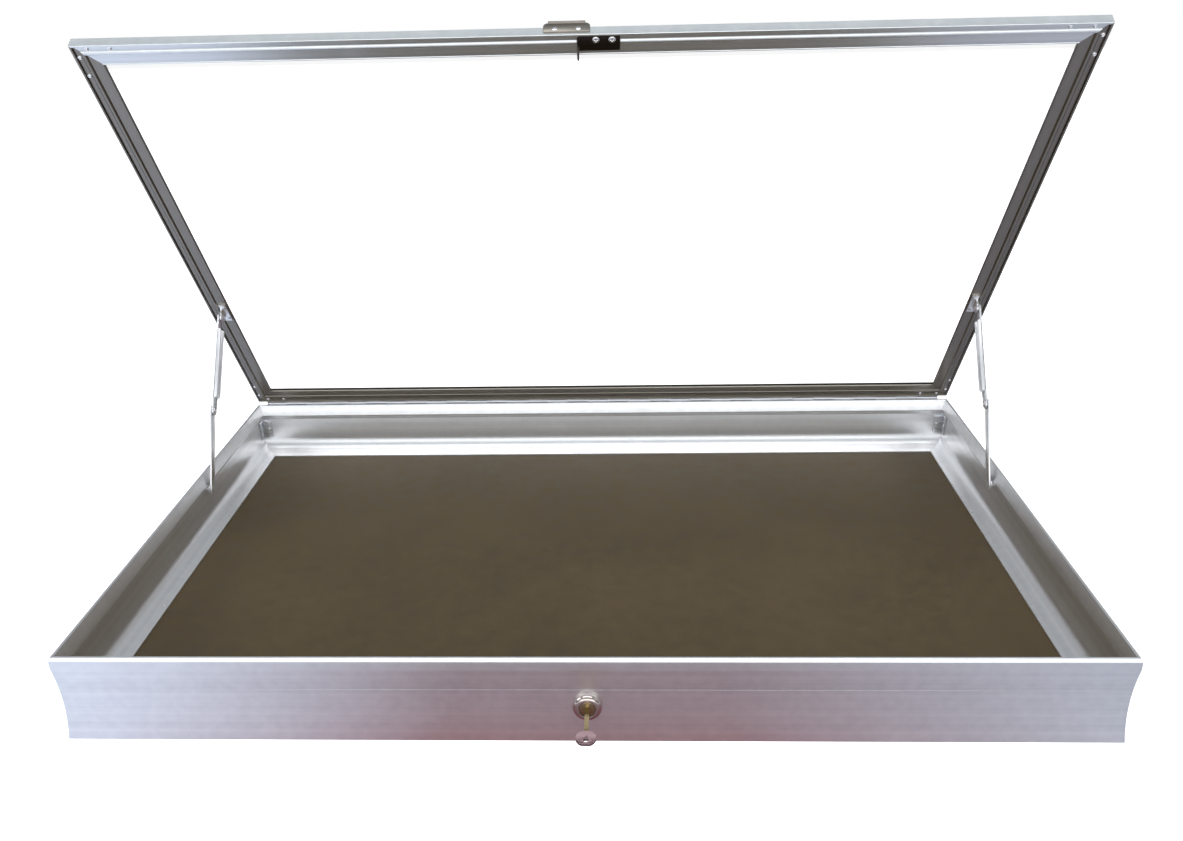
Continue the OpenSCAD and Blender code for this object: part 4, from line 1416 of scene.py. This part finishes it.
@dataclass
class FingerPull:
    """The small lifting lip on the front of the lid, with a rolled top edge."""

    finishes: "Finishes"
    x: float = -12.0 * MM
    width: float = 39.0 * MM
    low: float = 1.0 * MM
    rise: float = 5.0 * MM
    thick: float = 1.4 * MM
    roll: float = 1.5 * MM
    corner: float = 4.0 * MM

    def build(self) -> None:
        """Models and dresses the pull."""
        top = SIZES.lid_t + self.rise - self.roll
        half = self.width / 2
        shape = ([(-half, self.low + 0.6 * MM), (0.6 * MM - half, self.low), (half - 0.6 * MM, self.low),
                  (half, self.low + 0.6 * MM)]
                 + arc((half - self.corner, top - self.corner), self.corner, 0, 90, 8)
                 + arc((self.corner - half, top - self.corner), self.corner, 90, 180, 8))
        base = Vector((self.x, -SIZES.depth / 2, SIZES.lid_z))
        plate = Workpiece.bar("finger_pull_formed", shape, self.thick / 2,
                              lambda x, z: base + Vector((x, -self.thick / 2, z)), Vector((0, 1, 0)))
        start = base + Vector((self.corner - half, -self.roll, top))
        roll = Workpiece.cylinder("roll", self.roll, start, "X", self.width - 2 * self.corner, 32)
        plate.bevel(0.2 * MM, 2).join(roll.bevel(0.5 * MM, 3)).place(SIZES.opening)
        # The pull takes the lid's dark tone, a painted dark reflection.
        dress(plate.smooth(), self.finishes.metal(LID_DARK_REFLECTION_METAL), "lid", "lid_aluminium", "finger_pull")
        places = [aimed(base + Vector((s * self.width / 4, -self.thick, SIZES.lid_t / 2)), (0, -1, 0))
                  for s in (-1, 1)]
        rivets = DomedHead(2.2 * MM, 0.9 * MM).set_out("pull_rivets_set", places)
        dress(rivets.place(SIZES.opening), self.finishes.metal(PLATED), "lid", "fastener_steel",
              "pull_rivets")


@dataclass
class Stay:
    """One folding stay, drawn at the left end and mirrored for the right one."""

    finishes: "Finishes"
    side: Side
    width: float = 11.0 * MM
    thick: float = 1.8 * MM
    flange: float = 3.0 * MM
    flange_start: float = 14.0 * MM
    flange_slope: float = 1.4 * MM
    wall: float = 1.2 * MM
    lower_x: float = 9.3 * MM
    upper_x: float = 11.6 * MM

    @property
    def tag(self) -> str:
        """The end's name, as the CAD nodes use it."""
        return self.side.name.lower()

    def joint(self, name: str) -> Vector:
        """Place of one of this stay's joints, in the plane of the end wall."""
        place = next(j for j in frame["joints"] if j["name"] == f"{name}_{self.tag}")["pos_m"]
        return Vector((0, place[1], place[2]))

    @property
    def elbow(self) -> Vector:
        """Where the two links meet, from the box of the rivet head between them."""
        low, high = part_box(f"stay_elbow_cap_{self.tag}")
        return Vector((0, (low.y + high.y) / 2, (low.z + high.z) / 2))

    def set_on(self, piece: Workpiece) -> Workpiece:
        """Moves a piece drawn at the left end to this stay's end."""
        return piece if self.side is Side.LEFT else piece.place(MIRROR_X)

    def link_place(self, start: Vector, end: Vector, u: float) -> Matrix:
        """The move from a link drawn along +Y, thick along +X, to between two pivots."""
        turn = Vector((0, 1, 0)).rotation_difference((end - start).normalized()).to_matrix().to_4x4()
        return Matrix.Translation(start + Vector((u - SIZES.width / 2, 0, 0))) @ turn

    def strap(self, name: str, length: float) -> Workpiece:
        """Models a flat link with round ends, its first pivot on the origin."""
        ends = (arc((0, 0), self.width / 2, 90, 270, 16) + arc((length, 0), self.width / 2, -90, 90, 16))
        return Workpiece.bar(name, ends, self.thick / 2, lambda y, z: Vector((self.thick / 2, y, z)),
                             Vector((1, 0, 0)))

    def build(self) -> None:
        """Models and dresses the stay."""
        foot, top, elbow = self.joint("stay_wall_pivot"), self.joint("stay_lid_pivot"), self.elbow
        bright = self.finishes.metal(STAY_METAL, ALONG_Z)
        lower_body, upper_body = f"lower_stay_{self.tag}", f"upper_stay_{self.tag}"
        lower = self.strap(f"stay_lower_link_{self.tag}_pressed", (elbow - foot).length)
        lower.bevel(0.3 * MM, 2).place(self.link_place(foot, elbow, self.lower_x))
        dress(self.set_on(lower).smooth(), bright, lower_body, "stay_aluminium",
              f"stay_lower_link_{self.tag}")
        dress(self.set_on(self.upper_link(top, elbow)).smooth(), bright, upper_body, "stay_aluminium",
              f"stay_upper_link_{self.tag}")
        self.head("stay_elbow_cap", elbow, self.upper_x + self.thick, 3.4 * MM, 1.0 * MM, 1, upper_body)
        self.head("stay_elbow_pin", elbow, self.lower_x, 3.4 * MM, 0.7 * MM, -1, lower_body)

    def upper_link(self, top: Vector, elbow: Vector) -> Workpiece:
        """Models the upper link: a strap with two folded edges along most of its length.

        Args:
            top: Its pivot on the lid.
            elbow: Its pivot on the lower link.

        Returns:
            The link in its place at the left end.
        """
        length = (elbow - top).length
        piece = self.strap(f"stay_upper_link_{self.tag}_pressed", length).bevel(0.3 * MM, 2)
        edge, deep, start = (self.width - self.wall) / 2, self.thick + self.flange, self.flange_start
        slope = self.flange_slope
        side = [(start, 0.2 * MM), (length - start, 0.2 * MM), (length - start, deep - slope),
                (length - start - slope, deep), (start + slope, deep), (start, deep - slope)]
        for z in (-edge, edge):
            flange = Workpiece.bar("flange", rounded(side, 0.8 * MM, 30, 3), self.wall / 2,
                                   lambda y, x: Vector((x, y, z)), Vector((0, 0, 1)))
            piece.join(flange.bevel(0.25 * MM, 2))
        return piece.place(self.link_place(top, elbow, self.upper_x))

    def head(self, node: str, spot: Vector, u: float, radius: float, height: float, way: int,
             body: str) -> None:
        """Models one domed rivet head of the stay.

        Args:
            node: The CAD node that it replaces, without the end's name.
            spot: Its place in the plane of the end wall.
            u: Distance of its seat from the outer face.
            radius: Radius of the head.
            height: Height of the head.
            way: 1 if it faces the middle of the case, -1 if it faces the wall.
            body: The CAD body that it moves with.
        """
        place = aimed(spot + Vector((u - SIZES.width / 2, 0, 0)), (way, 0, 0))
        piece = DomedHead(radius, height).model(f"{node}_{self.tag}_set").place(place)
        dress(self.set_on(piece), self.finishes.metal(PLATED), body, "stay_aluminium",
              f"{node}_{self.tag}")


# --------------------------------------------------------------------------- studio


@dataclass(frozen=True)
class SoftBox:
    """One large soft light."""

    name: str
    place: Point3
    target: Point3
    size: Point
    power: float
    color: Point3 = (1.0, 1.0, 1.0)

    def build(self) -> None:
        """Adds the light, turned towards its target."""
        light = bpy.data.lights.new(self.name, "AREA")
        light.shape = "RECTANGLE"
        light.size, light.size_y = self.size
        light.energy = self.power
        light.color = self.color
        obj = bpy.data.objects.new(self.name, light)
        obj.location = self.place
        aim = Vector(self.target) - Vector(self.place)
        obj.rotation_euler = aim.to_track_quat("-Z", "Y").to_euler()
        bpy.context.scene.collection.objects.link(obj)


@dataclass(frozen=True)
class Studio:
    """Pale floor, soft light and the camera."""

    camera_place: Point3 = (0.0341, -1.0167, 0.5834)
    look_down: float = 22.29
    look_right: float = -2.59
    lean: float = -1.45
    lens: float = 33.79
    sensor: float = 36.0
    shift: Point = (0.0104, 0.0020)
    floor_size: float = 14.0
    floor_glow: float = 1.2
    # Painted reflection tones: floor colours that only the metal's reflections and bounced light see, while the
    # camera sees the floor pale.
    reflection_tone_left: Point3 = (0.82, 0.86, 1.0)
    reflection_tone_middle: Point3 = (0.30, 0.25, 0.27)
    reflection_tone_right: Point3 = (0.50, 0.50, 0.57)
    reflection_tone_near: Point3 = (0.25, 0.09, 0.11)
    reflection_tone_away: Point3 = (0.95, 0.95, 0.97)
    low_room: Point3 = (0.36, 0.35, 0.35)
    high_room: Point3 = (0.40, 0.44, 0.47)

    def build(self) -> None:
        """Adds the floor, the world, the lights and the camera."""
        bpy.context.scene.view_settings.view_transform = "Standard"
        self.add_floor()
        self.add_world()
        for box in (
            SoftBox("sky panel", (0.0, -0.7, 2.6), (0.0, 0.1, 0.0), (3.0, 1.2), 24),
            SoftBox("window left", (-2.6, -0.6, 1.7), (0.0, 0.0, 0.1), (1.4, 1.2), 18,
                    (0.90, 0.95, 1.0)),
            SoftBox("window right", (2.6, 0.2, 1.7), (0.0, 0.0, 0.1), (1.2, 1.2), 12,
                    (0.95, 0.98, 1.0)),
            SoftBox("window front", (0.0, -2.6, 0.8), (0.0, 0.0, 0.2), (3.8, 1.3), 25,
                    (0.94, 0.98, 1.0)),
        ):
            box.build()
        self.add_camera()

    def add_floor(self) -> None:
        """Adds a floor at the level that the case stands on: pale and glowing to the camera, with painted
        reflection tones for the metal.
        """
        deselect_all()
        bpy.ops.mesh.primitive_plane_add(size=self.floor_size, location=(0, 0, 0))
        floor = bpy.context.object
        floor.name = "floor"
        material, tree, shader = start_material("pale floor")
        seen = tree.nodes.new("ShaderNodeLightPath").outputs["Is Camera Ray"]
        # Camera rays see the pale glowing floor; all other rays see the painted reflection tone.
        tree.links.new(mixed(tree, seen, self.painted_reflection_tone(tree), PALE), shader.inputs["Base Color"])
        shader.inputs["Emission Color"].default_value = WHITE
        tree.links.new(maths(tree, "MULTIPLY", seen, self.floor_glow), shader.inputs["Emission Strength"])
        shader.inputs["Roughness"].default_value = 0.9
        floor.data.materials.append(material)

    def painted_reflection_tone(self, tree: bpy.types.NodeTree) -> bpy.types.NodeSocket:
        """Painted reflection colour of the floor, as the metal mirrors it; the camera never sees it.

        Args:
            tree: Node tree of the floor's material.

        Returns:
            The painted reflection colour: cool at the left, warm just in front of the lock and pale farther away.
        """
        axes = tree.nodes.new("ShaderNodeSeparateXYZ")
        tree.links.new(place_on_object(tree), axes.inputs[0])
        from_left = ranged(tree, axes.outputs["X"], -0.46, -0.12, 0.0, 1.0)
        to_right = ranged(tree, axes.outputs["X"], 0.12, 0.44, 0.0, 1.0)
        near = ranged(tree, axes.outputs["Y"], -0.36, -0.28, 0.0, 1.0)
        away = ranged(tree, axes.outputs["Y"], -0.50, -0.75, 0.0, 1.0)
        middle = mixed(tree, near, (*self.reflection_tone_middle, 1.0), (*self.reflection_tone_near, 1.0))
        level = mixed(tree, from_left, (*self.reflection_tone_left, 1.0), middle)
        level = mixed(tree, to_right, level, (*self.reflection_tone_right, 1.0))
        return mixed(tree, away, level, (*self.reflection_tone_away, 1.0))

    def add_world(self) -> None:
        """Adds a surround that is white behind the case and darker low down in reflections."""
        world = bpy.data.worlds.new("surround")
        world.use_nodes = True
        tree = world.node_tree
        way = tree.nodes.new("ShaderNodeTexCoord").outputs["Generated"]
        axes = tree.nodes.new("ShaderNodeSeparateXYZ")
        tree.links.new(way, axes.inputs[0])
        high = ranged(tree, axes.outputs["Z"], 0.05, 0.8, 0.0, 1.0)
        room = mixed(tree, high, (*self.low_room, 1.0), (*self.high_room, 1.0))
        seen = tree.nodes.new("ShaderNodeLightPath").outputs["Is Camera Ray"]
        tree.links.new(mixed(tree, seen, room, WHITE), tree.nodes["Background"].inputs["Color"])
        bpy.context.scene.world = world

    def add_camera(self) -> None:
        """Adds the camera."""
        down, right, lean = (math.radians(a) for a in (self.look_down, self.look_right, self.lean))
        ahead = Vector((math.sin(right) * math.cos(down), math.cos(right) * math.cos(down),
                        -math.sin(down)))
        level = ahead.cross(Vector((0, 0, 1))).normalized()
        up = level.cross(ahead)
        across = level * math.cos(lean) + up * math.sin(lean)
        above = up * math.cos(lean) - level * math.sin(lean)
        camera = bpy.data.cameras.new("camera")
        camera.lens = self.lens
        camera.sensor_width = self.sensor
        camera.shift_x, camera.shift_y = self.shift
        camera.clip_start = 0.01
        obj = bpy.data.objects.new("camera", camera)
        turn = Matrix((across, above, -ahead)).transposed().to_4x4()
        obj.matrix_world = Matrix.Translation(self.camera_place) @ turn
        bpy.context.scene.collection.objects.link(obj)
        bpy.context.scene.camera = obj


# --------------------------------------------------------------------------- main


def paint_all(finishes: Finishes) -> None:
    """Gives every CAD node that stays visible its finish.

    Args:
        finishes: The finishes.
    """
    metal, plain = finishes.metal, finishes.plain
    along_y = {"left_rail", "right_rail"}
    lid_sides = {"lid_left_rail", "lid_right_rail", "glazing_bead_left", "glazing_bead_right"}
    # The lid and bead slots take the lid's dark tone, a painted dark reflection.
    by_slot = {
        "case_aluminium": CASE_METAL, "lid_aluminium": LID_DARK_REFLECTION_METAL, "bead_aluminium": LID_DARK_REFLECTION_METAL,
        "bracket_aluminium": BRACKET_METAL, "fastener_steel": PLATED, "hinge_aluminium": HINGE_METAL,
        "lock_chrome": CHROME, "lock_brass": BRASS, "key_brass": BRASS, "strike_bronze": BRONZE,
        "stay_aluminium": STAY_METAL, "spring_steel": SPRING}
    for part in frame["record"]["subparts"]:
        node, slot = part["node"], part["material_slot"]
        lay = ALONG_Y if node in along_y else ALONG_LID_SIDE if node in lid_sides else ALONG_X
        if slot in by_slot:
            paint_node(node, metal(by_slot[slot], lay))
        elif slot == "hardboard":
            paint_node(node, plain(Board()))
        elif slot == "clear_glass":
            paint_node(node, plain(ClearGlass()))
        else:
            paint_node(node, plain(Moulded("black seal", (0.02, 0.02, 0.022))))


def main() -> None:
    """Builds every sub-assembly in order, then the studio."""
    logging.basicConfig(level=logging.INFO, format="%(message)s")
    finishes = Finishes()
    paint_all(finishes)
    Case(finishes).build()
    Lock(finishes).build()
    Lid(finishes).build()
    Strike(finishes).build()
    FingerPull(finishes).build()
    for side in Side:
        Stay(finishes, side).build()
    Studio().build()


if __name__ == "__main__":
    main()
